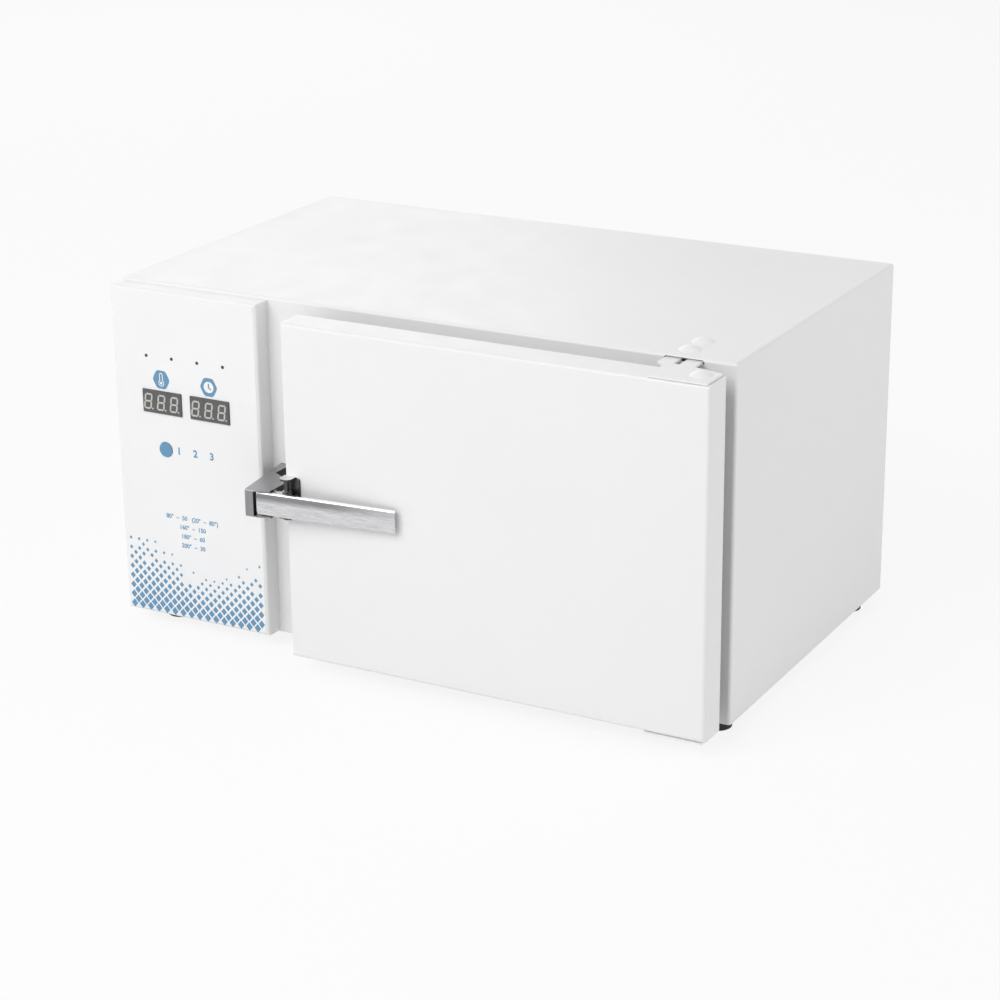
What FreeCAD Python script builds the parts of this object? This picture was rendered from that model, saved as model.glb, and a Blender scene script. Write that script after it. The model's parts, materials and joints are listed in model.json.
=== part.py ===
"""Dry heat sterilizer: a bench-top cabinet with a control panel, a side-hinged door and a lever latch.

The sizes are given from the cabinet's front left bottom corner: x to the right, y to the rear,
z up. The finished pieces are moved so that the origin lies under the middle of the whole object.
"""
import FreeCAD, Part
import os
import Sketcher
from FreeCAD import Rotation, Vector

doc = FreeCAD.newDocument("dry_heat_sterilizer")
sheet = doc.addObject("Spreadsheet::Sheet", "dim")

# Driving sizes in millimetres, angles in degrees
SIZES = {
    # Cabinet
    "cabinet_width": 545,
    "cabinet_depth": 315,
    "cabinet_height": 285,
    "case_sheet": 1.2,
    "case_bend": 1.3,
    "rear_flange": 12,
    "base_flange": 14,
    # Clearances: between assembled pieces, round fixed pins, and round turning pins
    "fit_gap": 0.3,
    "tight_gap": 0.02,
    "running_gap": 0.05,
    "overrun": 10,
    # Feet
    "foot_radius": 12.5,
    "foot_base_radius": 11.5,
    "foot_height": 10,
    "foot_left": 30,
    "foot_right": 18,
    "foot_front": 17,
    "foot_rear": 30,
    "foot_recess_radius": 5.5,
    "foot_recess": 4.5,
    # Machine screws
    "screw_radius": 2,
    "screw_head_radius": 3.9,
    "screw_head_height": 2.2,
    "nut_radius": 4,
    "nut_height": 3.2,
    # Hinges
    "hinge_spacer": 1,
    "hinge_spacer_radius": 6,
    "hinge_sheet": 1.5,
    "hinge_play": 0.3,
    "hinge_arm_width": 30,
    "hinge_arm_inset": 27.5,
    "hinge_arm_reach": 55,
    "hinge_head_width": 47.5,
    "hinge_head_inset": 2.5,
    "hinge_shoulder": 14,
    "hinge_slit_width": 5,
    "hinge_slit_length": 13,
    "hinge_slot_gap": 1.5,
    "hinge_slot_corner": 1.5,
    "hinge_screw_first": 18,
    "hinge_screw_pitch": 23,
    "hinge_screw_inset": 45.7,
    "pivot_inset": 15,
    "pivot_setback": 17,
    "pivot_radius": 4,
    "pivot_length": 14,
    "pivot_head_radius": 6,
    "pivot_head_height": 1.6,
    "bush_wall": 2,
    "bush_flange_radius": 7.5,
    "bush_flange": 1.5,
    "cap_radius": 8.75,
    "cap_height": 3.4,
    # Door
    "door_offset": 42,
    "door_thickness": 27,
    "door_gap": 20,
    "door_sheet": 1.2,
    "door_flange": 8,
    "panel_sheet": 1,
    "plug_margin": 16,
    "plug_depth": 12,
    "gasket_width": 10,
    "gasket_overlap": 4,
    "gasket_corner": 12,
    "gasket_bend": 2,
    # Chamber
    "chamber_wall_left": 27,
    "chamber_wall_right": 55,
    "chamber_wall_bottom": 33,
    "chamber_wall_top": 33,
    "chamber_wall_rear": 60,
    "chamber_corner": 4,
    "liner_sheet": 1,
    "liner_flange": 14,
    "insulation": 24,
    "heater_thickness": 2,
    "heater_border": 22,
    # Trays and their runners
    "runner_sheet": 1,
    "runner_ledge": 11,
    "runner_leg": 12,
    "runner_inset": 10,
    "tray_start": 25,
    "tray_rear_gap": 15,
    "tray_side_gap": 2,
    "tray_rim": 12,
    "tray_sheet": 0.8,
    "tray_corner": 5,
    "tray_slot_width": 6,
    # Probe and thermal cut-out in the chamber's left wall
    "probe_radius": 2.5,
    "probe_reach": 40,
    "probe_tail": 22,
    "probe_collar_radius": 7,
    "probe_collar": 4,
    "cutout_radius": 8,
    "cutout_height": 6,
    "cutout_tab": 9,
    "cutout_tab_width": 6.3,
    "cutout_tab_sheet": 0.8,
    # Control panel
    "console_width": 141,
    "console_projection": 17,
    "console_drop": 2.5,
    "console_rise": 1.5,
    "console_window_border": 16,
    "film": 0.4,
    "display_width": 37.7,
    "display_height": 19.05,
    "display_depth": 8,
    "display_edge": 0.4,
    "display_stand": 1.2,
    "display_drop": 96.2,
    "display_shift": 0.5,
    "display_pitch": 46.4,
    "led_radius": 1.4,
    "led_drop": 58,
    "led_shift": 0.4,
    "led_pitch": 24.8,
    "button_radius": 6.15,
    "button_drop": 136.2,
    "button_offset": 22.7,
    "button_stand": 0.8,
    "button_flange": 1.3,
    "button_flange_sheet": 1,
    "button_stem_radius": 2,
    "button_stem": 0.4,
    "switch_size": 6,
    "switch_height": 1.6,
    "switch_plunger_radius": 1.75,
    "switch_plunger": 0.6,
    "board_sheet": 1.6,
    "board_border": 12,
    "board_drop": 38,
    "board_height": 128,
    "spacer_radius": 3,
    "spacer_inset": 6,
    # Power side behind the partition
    "partition_offset": 7,
    "cable_hole_radius": 9,
    "power_board_gap": 8,
    "power_board_rise": 58,
    "power_board_height": 130,
    "power_board_setback": 58,
    "power_board_length": 150,
    "relay_size": 28,
    "relay_height": 16,
    "relay_rise": 12,
    "relay_setback": 24,
    "relay_pitch": 42,
    "transformer_width": 62,
    "transformer_depth": 46,
    "transformer_height": 50,
    "transformer_coil_width": 40,
    "transformer_coil_bulge": 9,
    "transformer_place": 40,
    "terminal_width": 60,
    "terminal_depth": 17,
    "terminal_height": 19,
    "terminal_bore": 2.2,
    "terminal_setback": 54.5,
    # Rear panel
    "vent_width": 3.5,
    "vent_length": 60,
    "vent_pitch": 9,
    "vent_drop": 95,
    "inlet_width": 27,
    "inlet_height": 20,
    "inlet_flange": 3,
    "inlet_flange_border": 4,
    "inlet_body": 24,
    "inlet_socket_border": 2.2,
    "inlet_socket": 16,
    "inlet_place": 45,
    "inlet_level": 42,
    "inlet_pin_width": 4,
    "inlet_pin_sheet": 2,
    "inlet_pin_pitch": 7,
    "inlet_pin_length": 13,
    "rocker_place": 100,
    "rocker_width": 13,
    "rocker_height": 19,
    "rocker_frame_border": 2.4,
    "rocker_frame": 2.4,
    "rocker_body": 17,
    "rocker_wall": 1.3,
    "rocker_well": 9,
    "rocker_key_gap": 0.6,
    "rocker_end_gap": 1.2,
    "rocker_tilt": 7,
    "rocker_axle_radius": 1.4,
    # Latch keeper on the case
    "latch_drop": 6.25,
    "keeper_sheet": 1.2,
    "keeper_play": 0.35,
    "keeper_leg_width": 9,
    "keeper_tail": 26,
    "keeper_throat": 21.5,
    "keeper_reach": 65,
    "keeper_shift": 8.5,
    "keeper_head_width": 21,
    "keeper_head_depth": 31.5,
    "keeper_front_skew": 4,
    "keeper_lip": 7.5,
    "keeper_return": 5,
    "keeper_bend": 1.1,
    # Latch base, pin and handle on the door
    "base_rise": 21.6,
    "base_width": 14,
    "base_sheet": 1.5,
    "base_reach": 11,
    "base_corner": 3.5,
    "base_tip": 4.5,
    "latch_pin_radius": 2.2,
    "latch_pin_inset": 5.25,
    "latch_pin_stand": 6.2,
    "latch_pin_head_radius": 3.6,
    "latch_pin_head": 0.8,
    "latch_ring_radius": 3.6,
    "latch_ring_height": 1,
    "latch_clearance": 0.1,
    "rivet_radius": 1.2,
    "rivet_head_radius": 2.1,
    "rivet_head": 1,
    "rivet_inset": 10,
    "rivet_rise": 4.5,
    "rivet_fall": 6.5,
    "handle_height": 19.4,
    "handle_sheet": 1.2,
    "handle_bend": 0.8,
    "handle_depth": 7,
    "handle_waist": 3,
    "handle_end_depth": 2.2,
    "handle_front": 7.64,
    "handle_left": 23.4,
    "handle_right": 96.9,
    "handle_tilt": 4.94,
    "handle_corner": 3.5,
    "handle_corner_step": 1,
    "handle_ear_radius": 4.2,
    "handle_ear_end": 1,
}

for row, (alias, value) in enumerate(SIZES.items(), start=1):
    sheet.set(f"A{row}", alias)
    sheet.set(f"B{row}", str(value))
    sheet.setAlias(f"B{row}", alias)
doc.recompute()


def number(expression):
    """The value of an expression in the sheet's sizes."""
    return float(sheet.evalExpression(str(expression)))


# Places worked out from the sizes, as expressions
case_right = "(dim.cabinet_width - dim.case_sheet)"
case_top = "(dim.cabinet_height - dim.case_sheet)"
case_rear = "(dim.cabinet_depth - dim.case_sheet)"
flange_front = f"({case_rear} - dim.case_sheet)"
case_seam = "(dim.case_sheet + dim.case_bend)"

hinge_top = f"({case_top} - dim.hinge_spacer)"
hinge_under = f"({hinge_top} - dim.hinge_sheet)"
door_top = f"({hinge_under} - dim.hinge_play)"
door_bottom = f"(dim.cabinet_height - {door_top})"
arm_right = "(dim.cabinet_width - dim.hinge_arm_inset)"
arm_left = f"({arm_right} - dim.hinge_arm_width)"
hinge_screw_x = "(dim.cabinet_width - dim.hinge_screw_inset)"
pivot_x = "(dim.cabinet_width - dim.pivot_inset)"

door_left = "(dim.console_width + dim.door_offset)"
door_width = f"(dim.cabinet_width - {door_left})"
door_rear = "(0 - dim.door_gap)"
door_front = f"({door_rear} - dim.door_thickness)"
door_inside = f"({door_front} + dim.door_sheet)"
panel_front = f"({door_rear} - dim.panel_sheet)"
pivot_y = f"({door_front} + dim.pivot_setback)"

chamber_left = f"({door_left} + dim.chamber_wall_left)"
chamber_right = "(dim.cabinet_width - dim.chamber_wall_right)"
chamber_bottom = "dim.chamber_wall_bottom"
chamber_top = "(dim.cabinet_height - dim.chamber_wall_top)"
chamber_rear = "(dim.cabinet_depth - dim.chamber_wall_rear)"
chamber_width = f"({chamber_right} - {chamber_left})"
chamber_height = f"({chamber_top} - {chamber_bottom})"
liner_left = f"({chamber_left} - dim.liner_sheet)"
liner_right = f"({chamber_right} + dim.liner_sheet)"
liner_bottom = f"({chamber_bottom} - dim.liner_sheet)"
liner_top = f"({chamber_top} + dim.liner_sheet)"
liner_rear = f"({chamber_rear} + dim.liner_sheet)"
liner_front = "(dim.case_sheet + dim.liner_sheet)"

console_top = "(dim.cabinet_height - dim.console_drop)"
console_face = "(0 - dim.console_projection)"
console_front = f"({console_face} + dim.film)"
console_inside = f"({console_front} + dim.case_sheet)"
board_front = f"({console_face} - dim.display_stand + dim.display_depth)"
board_right = "(dim.console_width - dim.board_border)"
board_top = "(dim.cabinet_height - dim.board_drop)"
board_bottom = f"({board_top} - dim.board_height)"
console_middle = "(dim.console_width / 2)"
display_level = "(dim.cabinet_height - dim.display_drop)"
led_level = "(dim.cabinet_height - dim.led_drop)"
button_x = f"({console_middle} - dim.button_offset)"
button_z = "(dim.cabinet_height - dim.button_drop)"

partition_right = "(dim.console_width + dim.partition_offset)"
partition_left = f"({partition_right} - dim.case_sheet)"
power_board_bottom = "(dim.case_sheet + dim.power_board_rise)"
power_board_top = f"({power_board_bottom} + dim.power_board_height)"
power_board_front = "(dim.case_sheet + dim.power_board_setback)"
power_board_rear = f"({power_board_front} + dim.power_board_length)"
power_board_right = f"({partition_left} - dim.power_board_gap)"

latch_level = "(dim.cabinet_height / 2 - dim.latch_drop)"
bar_bottom = f"({latch_level} - dim.handle_height / 2)"
bar_top = f"({latch_level} + dim.handle_height / 2)"
keeper_bottom = f"({bar_bottom} - dim.keeper_play - dim.keeper_sheet)"
keeper_top = f"({bar_top} + dim.keeper_play + dim.keeper_sheet)"
base_bottom = f"({bar_bottom} - dim.latch_clearance - dim.base_sheet)"
base_top = f"({latch_level} + dim.base_rise)"
latch_pin_x = f"({door_left} + dim.latch_pin_inset)"
latch_pin_y = f"({door_front} - dim.latch_pin_stand)"

foot_places = [
    ("dim.foot_left", "dim.foot_front"),
    ("(dim.cabinet_width - dim.foot_right)", "dim.foot_front"),
    ("dim.foot_left", "(dim.cabinet_depth - dim.foot_rear)"),
    ("(dim.cabinet_width - dim.foot_right)", "(dim.cabinet_depth - dim.foot_rear)"),
]
hinge_screw_rows = [
    "dim.hinge_screw_first",
    "(dim.hinge_screw_first + dim.hinge_screw_pitch)",
]

# The origin lies under the middle of the whole object, on the surface that the feet stand on
origin_x = "(0 - dim.cabinet_width / 2)"
origin_y = "((dim.keeper_reach - dim.cabinet_depth - dim.inlet_flange) / 2)"
origin_z = "dim.foot_height"

pieces = []


def finish(piece, label, x="0", y="0", z="0"):
    """Name a finished piece and set it in the object's own frame."""
    piece.Label = label
    piece.setExpression(".Placement.Base.x", f"{origin_x} + {x}")
    piece.setExpression(".Placement.Base.y", f"{origin_y} + {y}")
    piece.setExpression(".Placement.Base.z", f"{origin_z} + {z}")
    pieces.append(piece)
    return piece


# Primitives and booleans

def move(shape, x, y, z):
    """Bind the place of a primitive."""
    shape.setExpression(".Placement.Base.x", str(x))
    shape.setExpression(".Placement.Base.y", str(y))
    shape.setExpression(".Placement.Base.z", str(z))
    return shape


def block(low, high):
    """A box between two corners."""
    shape = doc.addObject("Part::Box", "block")
    for side, start, end in zip(("Length", "Width", "Height"), low, high):
        shape.setExpression(side, f"({end}) - ({start})")
    return move(shape, *low)


TURNS = {
    "x": Rotation(Vector(0, 1, 0), 90),
    "y": Rotation(Vector(1, 0, 0), -90),
    "z": Rotation(),
}


def rod(axis, place, radius, length):
    """A cylinder from a place along x, y or z."""
    shape = doc.addObject("Part::Cylinder", "rod")
    shape.setExpression("Radius", str(radius))
    shape.setExpression("Height", str(length))
    shape.Placement.Rotation = TURNS[axis]
    return move(shape, *place)


def cone(place, low_radius, high_radius, height):
    """An upright cone."""
    shape = doc.addObject("Part::Cone", "cone")
    shape.setExpression("Radius1", low_radius)
    shape.setExpression("Radius2", high_radius)
    shape.setExpression("Height", height)
    return move(shape, *place)


def ball(place, radius):
    """A sphere."""
    shape = doc.addObject("Part::Sphere", "ball")
    shape.setExpression("Radius", radius)
    return move(shape, *place)


def join(*shapes):
    """One solid from shapes that meet."""
    fused = doc.addObject("Part::MultiFuse", "join")
    fused.Shapes = list(shapes)
    fused.Refine = True
    return fused


def overlap(first, second):
    """What two shapes share."""
    common = doc.addObject("Part::Common", "overlap")
    common.Base = first
    common.Tool = second
    return common


def carve(shape, *tools):
    """A shape with tools taken out of it."""
    cut = doc.addObject("Part::Cut", "carve")
    cut.Base = shape
    cut.Tool = tools[0] if len(tools) == 1 else join(*tools)
    return cut


def group(shapes):
    """Separate solids that share one node."""
    compound = doc.addObject("Part::Compound", "group")
    compound.Links = list(shapes)
    return compound


# Bodies made of sketches and features

def new_body(label):
    return doc.addObject("PartDesign::Body", label)


def new_sketch(body, view, level="0"):
    """A sketch seen in plan, from the front or from the side, at a level along its normal axis."""
    role = {"plan": "XY_Plane", "front": "XZ_Plane", "side": "YZ_Plane"}[view]
    support = next(item for item in body.Origin.OriginFeatures if item.Role == role)
    sketch = body.newObject("Sketcher::SketchObject", f"{view}_sketch")
    sketch.AttachmentSupport = [(support, "")]
    sketch.MapMode = "FlatFace"
    sign = "0 -" if view == "front" else "0 +"
    sketch.setExpression(".AttachmentOffset.Base.z", f"{sign} ({level})")
    return sketch


def hold(sketch, kind, geometry, point, expression):
    """A dimension of a sketch, bound to an expression."""
    value = number(expression)
    if point is None:
        constraint = Sketcher.Constraint(kind, geometry, value)
    else:
        constraint = Sketcher.Constraint(kind, geometry, point, value)
    place = sketch.addConstraint(constraint)
    sketch.setExpression(f"Constraints[{place}]", str(expression))


def draw(sketch, *corners):
    """A closed outline through corners given as pairs of expressions."""
    first = sketch.GeometryCount
    count = len(corners)
    points = [Vector(number(u), number(v), 0) for u, v in corners]
    for index in range(count):
        line = Part.LineSegment(points[index], points[(index + 1) % count])
        sketch.addGeometry(line, False)
    for index in range(count):
        following = first + (index + 1) % count
        sketch.addConstraint(Sketcher.Constraint("Coincident", first + index, 2, following, 1))
    for index, (u, v) in enumerate(corners, start=first):
        hold(sketch, "DistanceX", index, 1, u)
        hold(sketch, "DistanceY", index, 1, v)


def draw_box(sketch, low, high):
    """A rectangle between two corners."""
    draw(sketch, low, (high[0], low[1]), high, (low[0], high[1]))


def draw_ring(sketch, place, radius):
    """A circle round a place."""
    centre = Vector(number(place[0]), number(place[1]), 0)
    index = sketch.addGeometry(Part.Circle(centre, Vector(0, 0, 1), number(radius)), False)
    hold(sketch, "DistanceX", index, 3, place[0])
    hold(sketch, "DistanceY", index, 3, place[1])
    hold(sketch, "Radius", index, None, radius)


def is_front_view(sketch):
    return sketch.Name.startswith("front")


def add(body, sketch, length, towards="+"):
    """Pad a sketch along the positive or negative axis."""
    feature = body.newObject("PartDesign::Pad", "pad")
    feature.Profile = sketch
    feature.setExpression("Length", length)
    feature.Reversed = (towards == "+") == is_front_view(sketch)
    doc.recompute()
    return feature


def cut(body, sketch, length, towards="+"):
    """Pocket a sketch along the positive or negative axis."""
    before = body.Shape.Volume
    feature = body.newObject("PartDesign::Pocket", "pocket")
    feature.Profile = sketch
    feature.setExpression("Length", length)
    feature.Reversed = (towards == "+") != is_front_view(sketch)
    doc.recompute()
    if feature.Shape.Volume >= before:
        raise RuntimeError(f"{body.Label}: a pocket takes nothing away")
    return feature


def repeat(body, feature, axis, span, count):
    """Copies of a feature along its sketch's horizontal or vertical axis, over a span."""
    pattern = body.newObject("PartDesign::LinearPattern", "pattern")
    pattern.Originals = [feature]
    pattern.Direction = (feature.Profile[0], [axis])
    pattern.setExpression("Length", span)
    pattern.Occurrences = count
    body.Tip = pattern
    doc.recompute()
    return pattern


def round_edges(body, radius, *places):
    """Round the edges whose middles lie nearest to the given places."""
    base = body.Tip
    names = []
    for place in places:
        target = Vector(*[number(value) for value in place])
        edges = base.Shape.Edges
        nearest = min(range(len(edges)), key=lambda k: (edges[k].CenterOfMass - target).Length)
        names.append(f"Edge{nearest + 1}")
    feature = body.newObject("PartDesign::Fillet", "fillet")
    feature.Base = (base, sorted(set(names)))
    feature.setExpression("Radius", radius)
    doc.recompute()
    if "Invalid" in feature.State:
        raise RuntimeError(f"{body.Label}: an edge can't be rounded")
    return feature


def middle(low, high):
    return f"(({low} + {high}) / 2)"


def upright_corners(left, right, front, rear, height):
    """The middles of a box's four upright edges."""
    return [(x, y, height) for x in (left, right) for y in (front, rear)]


def screw(axis, place, sign, head_radius, head_height, shank_radius, shank_length):
    """A screw whose head stands on a place; its shank points along the sign of its axis."""
    index = "xyz".index(axis)
    head = list(place)
    shank = list(place)
    if sign == "+":
        head[index] = f"{place[index]} - {head_height}"
    else:
        shank[index] = f"{place[index]} - {shank_length}"
    return join(rod(axis, head, head_radius, head_height),
                rod(axis, shank, shank_radius, shank_length))


# Cabinet

VENT_COUNT = 6
# Shares of the cabinet's height
REAR_SCREW_SHARES = (0.2, 0.8)
rear_screw_left = "(dim.case_sheet + dim.rear_flange / 2)"
rear_screw_places = [
    (x, f"({share} * dim.cabinet_height)")
    for x in (rear_screw_left, f"(dim.cabinet_width - {rear_screw_left})")
    for share in REAR_SCREW_SHARES
]

# Shares of the chamber's depth and height
PROBE_DEPTH_SHARE = 0.45
CABLE_DEPTH_SHARE = 0.8
PROBE_HEIGHT_SHARE = 0.85
CUTOUT_HEIGHT_SHARE = 0.45
probe_y = f"({PROBE_DEPTH_SHARE} * {chamber_rear})"
probe_z = f"({chamber_bottom} + {PROBE_HEIGHT_SHARE} * {chamber_height})"
cutout_y = probe_y
cutout_z = f"({chamber_bottom} + {CUTOUT_HEIGHT_SHARE} * {chamber_height})"
cable_y = f"({CABLE_DEPTH_SHARE} * {chamber_rear})"

# Share of the handle's height between the latch level and a keeper screw
KEEPER_SCREW_SHARE = 0.25
keeper_screw_y = "((dim.case_sheet + dim.case_bend + dim.keeper_tail) / 2 + dim.screw_radius)"
keeper_screw_places = [
    (keeper_screw_y, f"({latch_level} + {side} * {KEEPER_SCREW_SHARE} * dim.handle_height)")
    for side in (-1, 1)
]
pillar_places = [
    (y, z)
    for y in (f"({power_board_front} + dim.spacer_inset)",
              f"({power_board_rear} - dim.spacer_inset)")
    for z in (f"({power_board_bottom} + dim.spacer_inset)",
              f"({power_board_top} - dim.spacer_inset)")
]


def case_shell(label):
    """Front, top and sides of the cabinet, with rounded bends and no openings yet."""
    body = new_body(label)
    plan = new_sketch(body, "plan")
    draw_box(plan, ("0", "0"), ("dim.cabinet_width", "dim.cabinet_depth"))
    add(body, plan, "dim.cabinet_height")
    half_height = "dim.cabinet_height / 2"
    half_width = "dim.cabinet_width / 2"
    half_depth = "dim.cabinet_depth / 2"
    round_edges(body, "dim.case_bend + dim.case_sheet",
                ("0", "0", half_height), ("dim.cabinet_width", "0", half_height),
                (half_width, "0", "dim.cabinet_height"),
                ("0", half_depth, "dim.cabinet_height"),
                ("dim.cabinet_width", half_depth, "dim.cabinet_height"))
    room = new_sketch(body, "plan")
    draw_box(room, ("dim.case_sheet", "dim.case_sheet"), (case_right, flange_front))
    cut(body, room, case_top)
    round_edges(body, "dim.case_bend",
                ("dim.case_sheet", "dim.case_sheet", f"{case_top} / 2"),
                (case_right, "dim.case_sheet", f"{case_top} / 2"),
                (half_width, "dim.case_sheet", case_top))
    return body


def case_front():
    """Front of the case with its bends, as far as the weld behind them."""
    body = case_shell("case_front")
    rest = new_sketch(body, "front", case_seam)
    draw_box(rest, ("0 - dim.overrun", "0 - dim.overrun"),
             ("dim.cabinet_width + dim.overrun", "dim.cabinet_height + dim.overrun"))
    cut(body, rest, "dim.cabinet_depth")
    openings = new_sketch(body, "front", "0 - dim.overrun")
    draw_box(openings, (chamber_left, chamber_bottom), (chamber_right, chamber_top))
    draw_box(openings, ("dim.console_window_border", "dim.console_window_border"),
             ("dim.console_width - dim.console_window_border",
              "dim.cabinet_height - dim.console_window_border"))
    slot_left = f"({arm_left} - dim.hinge_slot_gap)"
    slot_right = f"({arm_right} + dim.hinge_slot_gap)"
    slot_under = f"({hinge_under} - dim.fit_gap)"
    draw(openings, (slot_left, slot_under), (slot_right, slot_under),
         (slot_right, f"{case_top} - dim.hinge_slot_corner"),
         (f"{slot_right} - dim.hinge_slot_corner", case_top),
         (f"{slot_left} + dim.hinge_slot_corner", case_top),
         (slot_left, f"{case_top} - dim.hinge_slot_corner"))
    draw_box(openings, (slot_left, "dim.case_sheet"),
             (slot_right, f"dim.cabinet_height - {slot_under}"))
    draw_box(openings, (f"{partition_right} - dim.fit_gap", f"{keeper_bottom} - dim.fit_gap"),
             (f"{partition_right} + dim.keeper_leg_width + dim.fit_gap",
              f"{keeper_top} + dim.fit_gap"))
    cut(body, openings, f"dim.overrun + {case_seam}")
    finish(body, "case_front")


def outer_case():
    """Top and sides behind the front."""
    body = case_shell("outer_case")
    front = new_sketch(body, "front", "0 - dim.overrun")
    draw_box(front, ("0 - dim.overrun", "0 - dim.overrun"),
             ("dim.cabinet_width + dim.overrun", "dim.cabinet_height + dim.overrun"))
    cut(body, front, f"dim.overrun + {case_seam}")
    seat = new_sketch(body, "plan")
    draw_box(seat, ("dim.case_sheet", f"{flange_front} - dim.overrun"),
             (case_right, "dim.cabinet_depth + dim.overrun"))
    cut(body, seat, case_top)
    holes = new_sketch(body, "plan", case_top)
    for row in hinge_screw_rows:
        draw_ring(holes, (hinge_screw_x, row), "dim.screw_radius + dim.tight_gap")
    cut(body, holes, "dim.case_sheet + dim.overrun")
    finish(body, "outer_case")


def rear_flange():
    """Frame inside the rear of the case that the rear panel is screwed to."""
    body = new_body("rear_flange")
    frame = new_sketch(body, "plan")
    draw_box(frame, ("dim.case_sheet", flange_front), (case_right, case_rear))
    add(body, frame, case_top)
    window = new_sketch(body, "plan")
    draw_box(window, ("dim.case_sheet + dim.rear_flange", f"{flange_front} - dim.overrun"),
             (f"{case_right} - dim.rear_flange", "dim.cabinet_depth + dim.overrun"))
    cut(body, window, f"{case_top} - dim.rear_flange")
    holes = new_sketch(body, "front", f"{flange_front} - dim.overrun")
    for place in rear_screw_places:
        draw_ring(holes, place, "dim.rivet_radius + dim.tight_gap")
    cut(body, holes, "2 * dim.overrun")
    finish(body, "rear_flange")


def base_plate():
    """Floor of the cabinet with a flange up each side."""
    body = new_body("base_plate")
    plan = new_sketch(body, "plan")
    draw_box(plan, ("dim.case_sheet", "dim.case_sheet"), (case_right, flange_front))
    add(body, plan, "dim.case_sheet")
    round_edges(body, "dim.case_bend", ("dim.case_sheet", "dim.case_sheet", "dim.case_sheet / 2"),
                (case_right, "dim.case_sheet", "dim.case_sheet / 2"))
    flanges = new_sketch(body, "plan")
    front = "(dim.case_sheet + dim.case_bend)"
    draw_box(flanges, ("dim.case_sheet", front), ("2 * dim.case_sheet", flange_front))
    draw_box(flanges, (f"{case_right} - dim.case_sheet", front), (case_right, flange_front))
    add(body, flanges, "dim.base_flange")
    holes = new_sketch(body, "plan")
    for place in foot_places:
        draw_ring(holes, place, "dim.screw_radius + dim.tight_gap")
    for row in hinge_screw_rows:
        draw_ring(holes, (hinge_screw_x, row), "dim.screw_radius + dim.tight_gap")
    cut(body, holes, "dim.case_sheet")
    finish(body, "base_plate")


def rear_panel():
    """Rear panel with vent slots behind the electronics and the two cut-outs for power."""
    body = new_body("rear_panel")
    front = new_sketch(body, "front")
    draw_box(front, ("dim.case_sheet", "0"), (case_right, case_top))
    add(body, front, "dim.case_sheet")
    vent = new_sketch(body, "front", "0 - dim.overrun")
    vent_left = f"(({partition_left} - dim.vent_length) / 2)"
    vent_bottom = "(dim.cabinet_height - dim.vent_drop)"
    draw_box(vent, (vent_left, vent_bottom),
             (f"{vent_left} + dim.vent_length", f"{vent_bottom} + dim.vent_width"))
    vent_cut = cut(body, vent, "dim.case_sheet + 2 * dim.overrun")
    repeat(body, vent_cut, "V_Axis", f"{VENT_COUNT - 1} * dim.vent_pitch", VENT_COUNT)
    holes = new_sketch(body, "front", "0 - dim.overrun")
    for place, width, height in (("dim.inlet_place", "dim.inlet_width", "dim.inlet_height"),
                                 ("dim.rocker_place", "dim.rocker_width", "dim.rocker_height")):
        draw_box(holes,
                 (f"{place} - {width} / 2 - dim.tight_gap",
                  f"dim.inlet_level - {height} / 2 - dim.tight_gap"),
                 (f"{place} + {width} / 2 + dim.tight_gap",
                  f"dim.inlet_level + {height} / 2 + dim.tight_gap"))
    for place in rear_screw_places:
        draw_ring(holes, place, "dim.rivet_radius + dim.tight_gap")
    cut(body, holes, "dim.case_sheet + 2 * dim.overrun")
    finish(body, "rear_panel", y=case_rear)


def partition_wall():
    """Wall between the electronics and the chamber, with holes for cables, probe and keeper screws."""
    front = "(dim.case_sheet + dim.case_bend)"
    wall = block((partition_left, front, "dim.case_sheet"),
                 (partition_right, flange_front, case_top))
    start = f"{partition_left} - dim.overrun"
    length = "dim.case_sheet + 2 * dim.overrun"
    tools = [
        rod("x", (start, probe_y, probe_z), "dim.probe_radius + dim.tight_gap", length),
        rod("x", (start, cutout_y, cutout_z), "dim.cable_hole_radius", length),
        rod("x", (start, cable_y, cutout_z), "dim.cable_hole_radius", length),
    ]
    for place in keeper_screw_places:
        tools.append(rod("x", (start, *place), "dim.screw_radius + dim.tight_gap", length))
    for place in pillar_places:
        tools.append(rod("x", (start, *place), "dim.rivet_radius + dim.tight_gap", length))
    finish(carve(wall, *tools), "partition_wall")


# Chamber

# Heights of the two tray levels as shares of the chamber's height
LEVEL_SHARES = (0.28, 0.62)
# Slots of a tray: columns and rows, and the slot's length as a share of a row's pitch
TRAY_COLUMNS = 13
TRAY_ROWS = 4
SLOT_LENGTH_SHARE = 0.72
rail_rear = f"({chamber_rear} - dim.chamber_corner)"
tray_rear = f"({chamber_rear} - dim.tray_rear_gap)"
tray_length = f"({tray_rear} - dim.tray_start)"


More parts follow.
